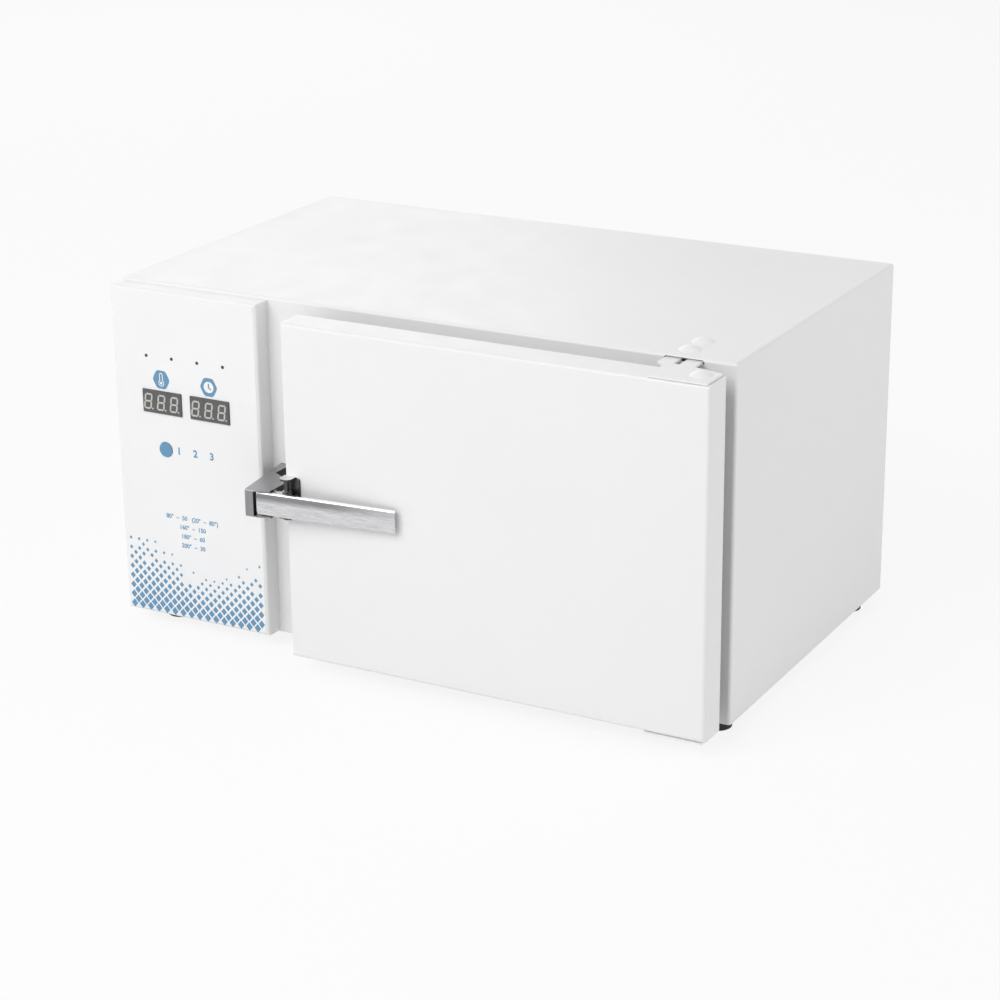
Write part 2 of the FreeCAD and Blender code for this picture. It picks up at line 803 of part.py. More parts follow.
def chamber_liner():
    """Stainless box, open at the front, with a flange behind the case front."""
    body = new_body("chamber_liner")
    flange = new_sketch(body, "front")
    draw_box(flange,
             (f"{chamber_left} - dim.liner_flange", f"{chamber_bottom} - dim.liner_flange"),
             (f"{chamber_right} + dim.liner_flange", f"{chamber_top} + dim.liner_flange"))
    add(body, flange, "dim.liner_sheet")
    shell = new_sketch(body, "front")
    draw_box(shell, (liner_left, liner_bottom), (liner_right, liner_top))
    add(body, shell, f"{liner_rear} - dim.case_sheet")
    room = new_sketch(body, "front")
    draw_box(room, (chamber_left, chamber_bottom), (chamber_right, chamber_top))
    cut(body, room, f"{chamber_rear} - dim.case_sheet")
    rear = f"({chamber_rear} - dim.case_sheet)"
    half_z = middle(chamber_bottom, chamber_top)
    half_x = middle(chamber_left, chamber_right)
    round_edges(body, "dim.chamber_corner",
                (chamber_left, rear, half_z), (chamber_right, rear, half_z),
                (half_x, rear, chamber_bottom), (half_x, rear, chamber_top))
    hole = new_sketch(body, "side", f"{liner_left} - dim.overrun")
    draw_ring(hole, (f"{probe_y} - dim.case_sheet", probe_z), "dim.probe_radius + dim.tight_gap")
    cut(body, hole, "2 * dim.overrun")
    finish(body, "chamber_liner", y="dim.case_sheet")


def heater_box(side):
    """Corners of one flat heater on the liner's bottom, top or right side."""
    front = "(dim.case_sheet + dim.heater_border)"
    rear = f"({chamber_rear} - dim.heater_border)"
    left = f"({chamber_left} + dim.heater_border)"
    right = f"({chamber_right} - dim.heater_border)"
    low = f"({chamber_bottom} + dim.heater_border)"
    high = f"({chamber_top} - dim.heater_border)"
    if side == "bottom":
        return (left, front, f"({liner_bottom} - dim.heater_thickness)"), (right, rear, liner_bottom)
    if side == "top":
        return (left, front, liner_top), (right, rear, f"({liner_top} + dim.heater_thickness)")
    return (liner_right, front, low), (f"({liner_right} + dim.heater_thickness)", rear, high)


def heating_plates():
    """Flat heaters against the outside of the liner."""
    plates = [block(*heater_box(side)) for side in ("bottom", "top", "right")]
    finish(group(plates), "heating_plates")


def chamber_insulation():
    """Mineral wool jacket round the liner, with room for heaters, probe and thermal cut-out."""
    jacket = block((f"{liner_left} - dim.insulation", liner_front, f"{liner_bottom} - dim.insulation"),
                   (f"{liner_right} + dim.insulation", f"{liner_rear} + dim.insulation",
                    f"{liner_top} + dim.insulation"))
    core = block((liner_left, f"{liner_front} - dim.overrun", liner_bottom),
                 (liner_right, liner_rear, liner_top))
    heaters = [block(*heater_box(side)) for side in ("bottom", "top", "right")]
    start = f"{liner_left} - dim.insulation - dim.overrun"
    length = "dim.insulation + 2 * dim.overrun"
    probe_bore = rod("x", (start, probe_y, probe_z), "dim.probe_radius + dim.fit_gap", length)
    cutout_bore = rod("x", (start, cutout_y, cutout_z), "dim.cutout_radius + dim.fit_gap", length)
    finish(carve(jacket, core, *heaters, probe_bore, cutout_bore), "chamber_insulation")


def temperature_probe():
    """Sheathed probe through the partition, the jacket and the liner, stopped by its collar."""
    start = f"({partition_left} - dim.probe_collar - dim.probe_tail)"
    sheath = rod("x", (start, probe_y, probe_z), "dim.probe_radius",
                 f"{chamber_left} + dim.probe_reach - {start}")
    collar = rod("x", (f"{partition_left} - dim.probe_collar", probe_y, probe_z),
                 "dim.probe_collar_radius", "dim.probe_collar")
    finish(join(sheath, collar), "temperature_probe")


def thermal_cutout():
    """Disc thermostat on the liner's left wall with two tab terminals."""
    disc = rod("x", (f"{liner_left} - dim.cutout_height", cutout_y, cutout_z),
               "dim.cutout_radius", "dim.cutout_height")
    tabs = []
    for side in (-1, 1):
        centre = f"({cutout_y} + {side} * dim.cutout_radius / 2)"
        tabs.append(block(
            (f"({liner_left} - dim.cutout_height - dim.cutout_tab)",
             f"({centre} - dim.cutout_tab_sheet / 2)", f"({cutout_z} - dim.cutout_tab_width / 2)"),
            (f"({liner_left} - dim.cutout_height)",
             f"({centre} + dim.cutout_tab_sheet / 2)", f"({cutout_z} + dim.cutout_tab_width / 2)")))
    finish(join(disc, *tabs), "thermal_cutout")


def tray_level(share):
    return f"({chamber_bottom} + {share} * {chamber_height})"


def tray_runners():
    """Four angle rails on the liner's side walls."""
    rails = []
    front = "dim.runner_inset"
    for share in LEVEL_SHARES:
        top = tray_level(share)
        under = f"({top} - dim.runner_sheet)"
        foot = f"({top} - dim.runner_leg)"
        rails.append(join(
            block((chamber_left, front, foot),
                  (f"({chamber_left} + dim.runner_sheet)", rail_rear, top)),
            block((chamber_left, front, under),
                  (f"({chamber_left} + dim.runner_ledge)", rail_rear, top))))
        rails.append(join(
            block((f"({chamber_right} - dim.runner_sheet)", front, foot),
                  (chamber_right, rail_rear, top)),
            block((f"({chamber_right} - dim.runner_ledge)", front, under),
                  (chamber_right, rail_rear, top))))
    finish(group(rails), "tray_runners")


def tray(label, share):
    """Shallow tray with a rim and a slotted floor, lying on its runners."""
    body = new_body(label)
    left = f"({chamber_left} + dim.tray_side_gap)"
    right = f"({chamber_right} - dim.tray_side_gap)"
    plan = new_sketch(body, "plan")
    draw_box(plan, (left, "dim.tray_start"), (right, tray_rear))
    add(body, plan, "dim.tray_rim")
    room = new_sketch(body, "plan", "dim.tray_sheet")
    inner_left = f"({left} + dim.tray_sheet)"
    inner_right = f"({right} - dim.tray_sheet)"
    inner_front = "(dim.tray_start + dim.tray_sheet)"
    inner_rear = f"({tray_rear} - dim.tray_sheet)"
    draw_box(room, (inner_left, inner_front), (inner_right, inner_rear))
    cut(body, room, "dim.tray_rim")
    round_edges(body, "dim.tray_corner - dim.tray_sheet",
                *upright_corners(inner_left, inner_right, inner_front, inner_rear,
                                 "(dim.tray_rim + dim.tray_sheet) / 2"))
    round_edges(body, "dim.tray_corner",
                *upright_corners(left, right, "dim.tray_start", tray_rear, "dim.tray_rim / 2"))
    floor_left = f"({chamber_left} + 2 * dim.runner_ledge)"
    floor_width = f"({chamber_width} - 4 * dim.runner_ledge)"
    row_pitch = f"({tray_length} / {TRAY_ROWS})"
    slots = new_sketch(body, "plan", "0 - dim.overrun")
    for row in range(TRAY_ROWS):
        start = f"(dim.tray_start + ({row} + (1 - {SLOT_LENGTH_SHARE}) / 2) * {row_pitch})"
        draw_box(slots, (floor_left, start),
                 (f"({floor_left} + dim.tray_slot_width)",
                  f"({start} + {SLOT_LENGTH_SHARE} * {row_pitch})"))
    slot_cut = cut(body, slots, "2 * dim.overrun")
    repeat(body, slot_cut, "H_Axis", f"{floor_width} - dim.tray_slot_width", TRAY_COLUMNS)
    finish(body, label, z=tray_level(share))


# Control panel

# Places along a row as shares of its pitch, counted from the row's middle
PAIR_SHARES = (-0.5, 0.5)
ROW_SHARES = (-1.5, -0.5, 0.5, 1.5)
display_places = [f"({console_middle} - dim.display_shift + {share} * dim.display_pitch)"
                  for share in PAIR_SHARES]
led_places = [f"({console_middle} - dim.led_shift + {share} * dim.led_pitch)"
              for share in ROW_SHARES]
spacer_places = [
    (x, z)
    for x in ("(dim.board_border + dim.spacer_inset)", f"({board_right} - dim.spacer_inset)")
    for z in (f"({board_bottom} + dim.spacer_inset)", f"({board_top} - dim.spacer_inset)")
]


def panel_holes(sketch, gap):
    """The windows for displays, lamps and button."""
    for place in display_places:
        draw_box(sketch,
                 (f"{place} - dim.display_width / 2 - {gap}",
                  f"{display_level} - dim.display_height / 2 - {gap}"),
                 (f"{place} + dim.display_width / 2 + {gap}",
                  f"{display_level} + dim.display_height / 2 + {gap}"))
    for place in led_places:
        draw_ring(sketch, (place, led_level), "dim.led_radius + dim.running_gap")
    draw_ring(sketch, (button_x, button_z), "dim.button_radius + dim.fit_gap")


def control_panel_housing():
    """Folded sheet box on the left of the cabinet front, open to the case."""
    body = new_body("control_panel_housing")
    depth = f"(0 - {console_front})"
    front = new_sketch(body, "front")
    draw_box(front, ("0", "dim.console_rise"), ("dim.console_width", console_top))
    add(body, front, depth, "-")
    half_z = middle("dim.console_rise", console_top)
    half_x = "dim.console_width / 2"
    round_edges(body, "dim.case_bend + dim.case_sheet",
                ("0", console_front, half_z), ("dim.console_width", console_front, half_z),
                (half_x, console_front, console_top), (half_x, console_front, "dim.console_rise"))
    room = new_sketch(body, "front")
    draw_box(room, ("dim.case_sheet", "dim.console_rise + dim.case_sheet"),
             ("dim.console_width - dim.case_sheet", f"{console_top} - dim.case_sheet"))
    cut(body, room, f"{depth} - dim.case_sheet", "-")
    holes = new_sketch(body, "front")
    panel_holes(holes, "dim.fit_gap")
    cut(body, holes, f"{depth} + dim.overrun", "-")
    finish(body, "control_panel_housing")


def panel_overlay():
    """Printed film on the housing's front."""
    body = new_body("panel_overlay")
    border = "(dim.case_bend + dim.case_sheet)"
    front = new_sketch(body, "front", console_front)
    draw_box(front, (border, f"dim.console_rise + {border}"),
             (f"dim.console_width - {border}", f"{console_top} - {border}"))
    add(body, front, "dim.film", "-")
    holes = new_sketch(body, "front", console_front)
    panel_holes(holes, "dim.fit_gap")
    cut(body, holes, "dim.film + dim.overrun", "-")
    finish(body, "panel_overlay")


def display(label, place):
    """Three-digit module that stands on the control board and fills its window."""
    body = new_body(label)
    face = f"({console_face} - dim.display_stand)"
    left = f"({place} - dim.display_width / 2)"
    right = f"({place} + dim.display_width / 2)"
    bottom = f"({display_level} - dim.display_height / 2)"
    top = f"({display_level} + dim.display_height / 2)"
    front = new_sketch(body, "front", face)
    draw_box(front, (left, bottom), (right, top))
    add(body, front, "dim.display_depth")
    round_edges(body, "dim.display_edge", (left, face, display_level), (right, face, display_level),
                (place, face, bottom), (place, face, top))
    finish(body, label)


def indicator_leds():
    """Four lamps on the control board."""
    lamps = [rod("y", (place, console_face, led_level), "dim.led_radius",
                 f"{board_front} - {console_face}") for place in led_places]
    finish(group(lamps), "indicator_leds")


def control_board():
    """Circuit board behind the panel."""
    board = block(("dim.board_border", board_front, board_bottom),
                  (board_right, f"({board_front} + dim.board_sheet)", board_top))
    holes = [rod("y", (x, f"{board_front} - dim.overrun", z), "dim.rivet_radius + dim.tight_gap",
                 "dim.board_sheet + 2 * dim.overrun") for x, z in spacer_places]
    finish(carve(board, *holes), "control_board")


def board_spacers():
    """Four threaded studs that carry the control board, each with its screw."""
    spacers = []
    for x, z in spacer_places:
        post = rod("y", (x, console_inside, z), "dim.spacer_radius", f"{board_front} - {console_inside}")
        screw_y = f"({board_front} + dim.board_sheet)"
        shank = rod("y", (x, board_front, z), "dim.rivet_radius", "dim.board_sheet")
        head = rod("y", (x, screw_y, z), "dim.rivet_head_radius", "dim.rivet_head")
        spacers.append(join(post, shank, head))
    finish(group(spacers), "board_spacers")


def program_button():
    """Round key with a retaining flange behind the panel and a stem towards its switch."""
    flange_y = f"({console_inside} + dim.fit_gap)"
    stem_y = f"({flange_y} + dim.button_flange_sheet)"
    face_y = f"({console_face} - dim.button_stand)"
    place = (button_x, button_z)
    cap = rod("y", (place[0], face_y, place[1]), "dim.button_radius", f"{stem_y} - {face_y}")
    flange = rod("y", (place[0], flange_y, place[1]), "dim.button_radius + dim.button_flange",
                 "dim.button_flange_sheet")
    stem = rod("y", (place[0], stem_y, place[1]), "dim.button_stem_radius", "dim.button_stem")
    finish(join(cap, flange, stem), "program_button")


def button_switch():
    """Small push switch on the control board behind the button."""
    half = "dim.switch_size / 2"
    top = f"({board_front} - dim.switch_height)"
    case = block((f"({button_x} - {half})", top, f"({button_z} - {half})"),
                 (f"({button_x} + {half})", board_front, f"({button_z} + {half})"))
    plunger = rod("y", (button_x, f"{top} - dim.switch_plunger", button_z),
                  "dim.switch_plunger_radius", "dim.switch_plunger")
    finish(join(case, plunger), "button_switch")


# Power side

TERMINAL_COUNT = 6
# Height of an inlet pin over the middle as a share of the pin's own width
PIN_RISE_SHARE = 0.3
# Half the key's thickness as a share of its well
KEY_DEPTH_SHARE = 0.25
rocker_axle_y = "(dim.cabinet_depth + dim.rocker_frame - dim.rocker_well / 2)"


def power_board():
    """Circuit board beside the partition with two relays on it."""
    board = block((f"({power_board_right} - dim.board_sheet)", power_board_front,
                   power_board_bottom),
                  (power_board_right, power_board_rear, power_board_top))
    relays = []
    for side in (0, 1):
        low_z = f"({power_board_bottom} + dim.relay_rise + {side} * dim.relay_pitch)"
        low_y = f"({power_board_front} + dim.relay_setback)"
        relays.append(block(
            (f"({power_board_right} - dim.board_sheet - dim.relay_height)", low_y, low_z),
            (f"({power_board_right} - dim.board_sheet)", f"({low_y} + dim.relay_size)",
             f"({low_z} + dim.relay_size)")))
    holes = [rod("x", (f"{power_board_right} - dim.overrun", *place),
                 "dim.rivet_radius + dim.tight_gap", "2 * dim.overrun") for place in pillar_places]
    finish(carve(join(board, *relays), *holes), "power_board")


def board_pillars():
    """Four pillars between partition and power board, riveted through both."""
    pillars = []
    for place in pillar_places:
        post = rod("x", (power_board_right, *place), "dim.spacer_radius", "dim.power_board_gap")
        left_end = f"({power_board_right} - dim.board_sheet - dim.rivet_head)"
        shank = rod("x", (left_end, *place), "dim.rivet_radius",
                    f"{partition_right} + dim.rivet_head - {left_end}")
        left_head = rod("x", (left_end, *place), "dim.rivet_head_radius", "dim.rivet_head")
        right_head = rod("x", (partition_right, *place), "dim.rivet_head_radius",
                         "dim.rivet_head")
        pillars.append(join(post, shank, left_head, right_head))
    finish(group(pillars), "board_pillars")


def transformer():
    """Small mains transformer on the base plate: iron core and coil."""
    left = "dim.transformer_place"
    rear = f"({flange_front} - dim.transformer_place)"
    front = f"({rear} - dim.transformer_depth)"
    bottom = "dim.case_sheet"
    top = "(dim.case_sheet + dim.transformer_height)"
    core = block((left, front, bottom), (f"({left} + dim.transformer_width)", rear, top))
    side = "((dim.transformer_width - dim.transformer_coil_width) / 2)"
    coil = block((f"({left} + {side})", f"({front} - dim.transformer_coil_bulge)",
                  f"({bottom} + dim.transformer_coil_bulge)"),
                 (f"({left} + {side} + dim.transformer_coil_width)",
                  f"({rear} + dim.transformer_coil_bulge)",
                  f"({top} - dim.transformer_coil_bulge)"))
    finish(join(core, coil), "transformer")


def terminal_block():
    """Screw terminal strip on the base plate."""
    left = "dim.transformer_place"
    front = "dim.terminal_setback"
    strip = block((left, front, "dim.case_sheet"),
                  (f"({left} + dim.terminal_width)", f"({front} + dim.terminal_depth)",
                   "(dim.case_sheet + dim.terminal_height)"))
    bores = []
    for index in range(TERMINAL_COUNT):
        x = f"({left} + ({index} + 0.5) * dim.terminal_width / {TERMINAL_COUNT})"
        z = "(dim.case_sheet + dim.terminal_height / 2)"
        bores.append(rod("y", (x, f"{front} - dim.overrun", z), "dim.terminal_bore",
                         "dim.terminal_depth + 2 * dim.overrun"))
    finish(carve(strip, *bores), "terminal_block")


def around(place, level, width, height, y_low, y_high, border="0"):
    """A box centred on a place of the rear panel."""
    return block((f"({place} - {width} / 2 - {border})", y_low,
                  f"({level} - {height} / 2 - {border})"),
                 (f"({place} + {width} / 2 + {border})", y_high,
                  f"({level} + {height} / 2 + {border})"))


def power_inlet():
    """Three-pin mains inlet in the rear panel."""
    face = "(dim.cabinet_depth + dim.inlet_flange)"
    frame = ("dim.inlet_place", "dim.inlet_level", "dim.inlet_width", "dim.inlet_height")
    body = around(*frame, "(dim.cabinet_depth - dim.inlet_body)", "dim.cabinet_depth")
    flange = around(*frame, "dim.cabinet_depth", face, "dim.inlet_flange_border")
    socket = around(*frame, f"({face} - dim.inlet_socket)", f"({face} + dim.overrun)",
                    "(0 - dim.inlet_socket_border)")
    pins = []
    for step, rise in ((-1, -PIN_RISE_SHARE), (0, PIN_RISE_SHARE), (1, -PIN_RISE_SHARE)):
        pins.append(around(f"(dim.inlet_place + {step} * dim.inlet_pin_pitch)",
                           f"(dim.inlet_level + {rise} * dim.inlet_pin_width)",
                           "dim.inlet_pin_sheet", "dim.inlet_pin_width",
                           f"({face} - dim.inlet_socket)",
                           f"({face} - dim.inlet_socket + dim.inlet_pin_length)"))
    finish(join(carve(join(body, flange), socket), *pins), "power_inlet")


def power_switch_housing():
    """Snap-in housing of the mains switch, with a well for its key."""
    frame = ("dim.rocker_place", "dim.inlet_level", "dim.rocker_width", "dim.rocker_height")
    face = "(dim.cabinet_depth + dim.rocker_frame)"
    body = around(*frame, "(dim.cabinet_depth - dim.rocker_body)", "dim.cabinet_depth")
    flange = around(*frame, "dim.cabinet_depth", face, "dim.rocker_frame_border")
    well = around(*frame, f"({face} - dim.rocker_well)", f"({face} + dim.overrun)",
                  "(0 - dim.rocker_wall)")
    axle_start = "(dim.rocker_place - dim.rocker_width / 2)"
    axle = rod("x", (axle_start, rocker_axle_y, "dim.inlet_level"), "dim.rocker_axle_radius",
               "dim.rocker_width")
    finish(join(carve(join(body, flange), well), axle), "power_switch_housing")


def switch_rocker():
    """Key of the mains switch, resting tilted to its off side."""
    half_width = "(dim.rocker_width / 2 - dim.rocker_wall - dim.rocker_key_gap)"
    half_height = "(dim.rocker_height / 2 - dim.rocker_wall - dim.rocker_end_gap)"
    half_depth = f"({KEY_DEPTH_SHARE} * dim.rocker_well)"
    key = block((f"(0 - {half_width})", f"(0 - {half_depth})", f"(0 - {half_height})"),
                (half_width, half_depth, half_height))
    bore = rod("x", (f"(0 - {half_width} - dim.overrun)", "0", "0"),
               "dim.rocker_axle_radius + dim.running_gap", f"2 * ({half_width} + dim.overrun)")
    rocker = carve(key, bore)
    rocker.Placement.Rotation = Rotation(Vector(1, 0, 0), 0)
    finish(rocker, "switch_rocker", "dim.rocker_place", rocker_axle_y, "dim.inlet_level")
    rocker.setExpression(".Placement.Rotation.Angle", "0 - dim.rocker_tilt")


# Hinges

def hinge_plate(label, z):
    """Flat arm out of the case, shouldered to a head over the door's pivot, with a slit."""
    body = new_body(label)
    head_right = "(dim.cabinet_width - dim.hinge_head_inset)"
    head_left = f"({head_right} - dim.hinge_head_width)"
    shoulder_rear = "(0 - dim.hinge_shoulder)"
    plan = new_sketch(body, "plan")
    draw(plan, (arm_left, "dim.hinge_arm_reach"), (arm_left, shoulder_rear), (head_left, door_rear),
         (head_left, door_front), (head_right, door_front), (head_right, door_rear),
         (arm_right, shoulder_rear), (arm_right, "dim.hinge_arm_reach"))
    add(body, plan, "dim.hinge_sheet")
    holes = new_sketch(body, "plan")
    slit_left = f"({middle(arm_left, arm_right)} - dim.hinge_slit_width / 2)"
    draw_box(holes, (slit_left, "0 - dim.hinge_slit_length"),
             (f"{slit_left} + dim.hinge_slit_width", "dim.hinge_slit_width"))
    for row in hinge_screw_rows:
        draw_ring(holes, (hinge_screw_x, row), "dim.screw_radius + dim.tight_gap")
    draw_ring(holes, (pivot_x, pivot_y), "dim.pivot_radius + dim.tight_gap")
    cut(body, holes, "dim.hinge_sheet")
    finish(body, label, z=z)


def mirrored(z):
    """The height that lies as far above the bottom as a height lies below the top."""
    return f"(dim.cabinet_height - {z})"


def hinge_spacers():
    """Washers between the hinge arms and the case."""
    washers = []
    for row in hinge_screw_rows:
        for z in (hinge_top, "dim.case_sheet"):
            place = (hinge_screw_x, row, z)
            ring = rod("z", place, "dim.hinge_spacer_radius", "dim.hinge_spacer")
            bore = rod("z", (hinge_screw_x, row, f"{z} - dim.overrun"),
                       "dim.screw_radius + dim.tight_gap", "dim.hinge_spacer + 2 * dim.overrun")
            washers.append(carve(ring, bore))
    finish(group(washers), "hinge_spacers")


def hinge_screws():
    """Screws and nuts that hold the hinge arms to the top sheet and the base plate."""
    grip = "(dim.case_sheet + dim.hinge_spacer + dim.hinge_sheet + dim.nut_height)"
    screws = []
    for row in hinge_screw_rows:
        upper = screw("z", (hinge_screw_x, row, "dim.cabinet_height"), "-", "dim.screw_head_radius",
                      "dim.screw_head_height", "dim.screw_radius", grip)
        upper_nut = rod("z", (hinge_screw_x, row, f"({hinge_under} - dim.nut_height)"),
                        "dim.nut_radius", "dim.nut_height")
        lower = screw("z", (hinge_screw_x, row, "0"), "+", "dim.screw_head_radius",
                      "dim.screw_head_height", "dim.screw_radius", grip)
        lower_nut = rod("z", (hinge_screw_x, row, mirrored(hinge_under)),
                        "dim.nut_radius", "dim.nut_height")
        screws.append(join(upper, upper_nut))
        screws.append(join(lower, lower_nut))
    finish(group(screws), "hinge_screws")


def hinge_pins():
    """Headed pivot pins, down through the top plate and up through the bottom plate."""
    length = "(dim.hinge_sheet + dim.hinge_play + dim.pivot_length)"
    upper = screw("z", (pivot_x, pivot_y, hinge_top), "-", "dim.pivot_head_radius",
                  "dim.pivot_head_height", "dim.pivot_radius", length)
    lower = screw("z", (pivot_x, pivot_y, mirrored(hinge_top)), "+", "dim.pivot_head_radius",
                  "dim.pivot_head_height", "dim.pivot_radius", length)
    finish(group([upper, lower]), "hinge_pins")


def hinge_bushes():
    """Flanged bushes in the door's top and bottom walls."""
    bushes = []
    outer = "(dim.pivot_radius + dim.bush_wall)"
    length = "(dim.pivot_length + dim.fit_gap)"
    for upper in (True, False):
        start = f"({door_top} - {length})" if upper else door_bottom
        flange = (f"({door_top} - dim.door_sheet - dim.bush_flange)" if upper
                  else f"({door_bottom} + dim.door_sheet)")
        sleeve = rod("z", (pivot_x, pivot_y, start), outer, length)
        collar = rod("z", (pivot_x, pivot_y, flange), "dim.bush_flange_radius", "dim.bush_flange")
        bore = rod("z", (pivot_x, pivot_y, f"{start} - dim.overrun"),
                   "dim.pivot_radius + dim.running_gap", f"{length} + 2 * dim.overrun")
        bushes.append(carve(join(sleeve, collar), bore))
    finish(group(bushes), "hinge_bushes")


def screw_cap(place, upward, head_radius, head_height):
    """A domed plastic cap over a screw or pin head."""
    x, y, z = place
    radius = "((dim.cap_radius ^ 2 + dim.cap_height ^ 2) / (2 * dim.cap_height))"
    if upward:
        dome = overlap(rod("z", place, "dim.cap_radius", "dim.cap_height"),
                       ball((x, y, f"{z} + dim.cap_height - {radius}"), radius))
        room = rod("z", (x, y, f"{z} - dim.overrun"), f"{head_radius} + dim.tight_gap",
                   f"dim.overrun + {head_height} + dim.tight_gap")
    else:
        dome = overlap(rod("z", (x, y, f"{z} - dim.cap_height"), "dim.cap_radius", "dim.cap_height"),
                       ball((x, y, f"{z} - dim.cap_height + {radius}"), radius))
        room = rod("z", (x, y, f"{z} - {head_height} - dim.tight_gap"),
                   f"{head_radius} + dim.tight_gap", f"dim.overrun + {head_height} + dim.tight_gap")
    return carve(dome, room)


def screw_caps():
    """Caps over the two top hinge screws and over both pivots."""
    caps = [screw_cap((hinge_screw_x, row, "dim.cabinet_height"), True,
                      "dim.screw_head_radius", "dim.screw_head_height") for row in hinge_screw_rows]
    caps.append(screw_cap((pivot_x, pivot_y, hinge_top), True,
                          "dim.pivot_head_radius", "dim.pivot_head_height"))
    caps.append(screw_cap((pivot_x, pivot_y, mirrored(hinge_top)), False,
                          "dim.pivot_head_radius", "dim.pivot_head_height"))
    finish(group(caps), "screw_caps")


# Door

rivet_x = f"({door_left} + dim.rivet_inset)"
rivet_places = [
    (rivet_x, f"({latch_level} - dim.rivet_fall)"),
    (rivet_x, f"({latch_level} + dim.rivet_rise)"),
]

door_rim = "(dim.door_sheet + dim.door_flange / 2)"
# Places of the panel screws along the door's height and width, as shares
SCREW_SHARES = (0.12, 0.5, 0.88)
door_screw_places = []
for screw_share in SCREW_SHARES:
    screw_x = f"({door_left} + {screw_share} * {door_width})"
    screw_z = f"({door_bottom} + {screw_share} * ({door_top} - {door_bottom}))"
    door_screw_places.append((screw_x, f"({door_bottom} + {door_rim})"))
    door_screw_places.append((screw_x, f"({door_top} - {door_rim})"))
    door_screw_places.append((f"({door_left} + {door_rim})", screw_z))
    door_screw_places.append((f"(dim.cabinet_width - {door_rim})", screw_z))

plug_left = f"({chamber_left} - dim.plug_margin)"
plug_right = f"({chamber_right} + dim.plug_margin)"
plug_bottom = f"({chamber_bottom} - dim.plug_margin)"
plug_top = f"({chamber_top} + dim.plug_margin)"


def door_outer_shell():
    """Folded sheet tray: front and four sides, with a flange that carries the inner panel."""
    body = new_body("door_outer_shell")
    height = f"({door_top} - {door_bottom})"
    plan = new_sketch(body, "plan")
    draw_box(plan, (door_left, door_front), ("dim.cabinet_width", door_rear))
    add(body, plan, height)
    half_x = middle(door_left, "dim.cabinet_width")
    round_edges(body, "dim.case_bend + dim.door_sheet",
                (door_left, door_front, f"{height} / 2"),
                ("dim.cabinet_width", door_front, f"{height} / 2"),
                (half_x, door_front, height), (half_x, door_front, "0"))
    inner_left = f"({door_left} + dim.door_sheet)"
    inner_right = "(dim.cabinet_width - dim.door_sheet)"
    inner_top = f"({height} - dim.door_sheet)"
    seat = new_sketch(body, "front", panel_front)
    draw_box(seat, (inner_left, "dim.door_sheet"), (inner_right, inner_top))
    cut(body, seat, "dim.panel_sheet + dim.overrun")
    window = new_sketch(body, "front", f"{panel_front} - dim.door_sheet - dim.overrun")
    draw_box(window, (f"{inner_left} + dim.door_flange", "dim.door_sheet + dim.door_flange"),
             (f"{inner_right} - dim.door_flange", f"{inner_top} - dim.door_flange"))
    cut(body, window, "dim.door_sheet + 2 * dim.overrun")
    room = new_sketch(body, "front", door_inside)
    draw_box(room, (inner_left, "dim.door_sheet"), (inner_right, inner_top))
    cut(body, room, f"{panel_front} - dim.door_sheet - {door_inside}")
    bores = new_sketch(body, "plan", "0 - dim.overrun")
    draw_ring(bores, (pivot_x, pivot_y), "dim.pivot_radius + dim.bush_wall + dim.tight_gap")
    cut(body, bores, f"{height} + 2 * dim.overrun")
    holes = new_sketch(body, "front", f"{door_front} - dim.overrun")
    for x, z in rivet_places:
        draw_ring(holes, (x, f"{z} - {door_bottom}"), "dim.rivet_radius + dim.tight_gap")
    cut(body, holes, "dim.door_sheet + dim.overrun")
    screw_holes = new_sketch(body, "front", f"{panel_front} + dim.overrun")
    for x, z in door_screw_places:
        draw_ring(screw_holes, (x, f"{z} - {door_bottom}"), "dim.rivet_radius + dim.tight_gap")
    cut(body, screw_holes, "dim.overrun + dim.door_sheet", "-")
    finish(body, "door_outer_shell", z=door_bottom)


def door_inner_panel():
    """Stainless rear panel of the door with a raised centre that faces the chamber."""
    body = new_body("door_inner_panel")
    front = new_sketch(body, "front")
    draw_box(front, (f"{door_left} + dim.door_sheet", f"{door_bottom} + dim.door_sheet"),
             ("dim.cabinet_width - dim.door_sheet", f"{door_top} - dim.door_sheet"))
    add(body, front, "dim.panel_sheet")
    raised = new_sketch(body, "front")
    draw_box(raised, (plug_left, plug_bottom), (plug_right, plug_top))
    depth = "(dim.panel_sheet + dim.plug_depth)"
    add(body, raised, depth)
    room = new_sketch(body, "front", "0 - dim.overrun")
    draw_box(room, (f"{plug_left} + dim.panel_sheet", f"{plug_bottom} + dim.panel_sheet"),
             (f"{plug_right} - dim.panel_sheet", f"{plug_top} - dim.panel_sheet"))
    cut(body, room, "dim.plug_depth + dim.overrun")
    inner = [(x, "dim.plug_depth / 2", z)
             for x in (f"{plug_left} + dim.panel_sheet", f"{plug_right} - dim.panel_sheet")
             for z in (f"{plug_bottom} + dim.panel_sheet", f"{plug_top} - dim.panel_sheet")]
    round_edges(body, "dim.gasket_corner - dim.panel_sheet", *inner)
    round_edges(body, "dim.gasket_corner",
                *[(x, f"({depth} + dim.panel_sheet) / 2", z)
                  for x in (plug_left, plug_right) for z in (plug_bottom, plug_top)])
    holes = new_sketch(body, "front", "0 - dim.overrun")
    for place in door_screw_places:
        draw_ring(holes, place, "dim.rivet_radius + dim.tight_gap")
    cut(body, holes, "dim.panel_sheet + 2 * dim.overrun")
    finish(body, "door_inner_panel", y=panel_front)


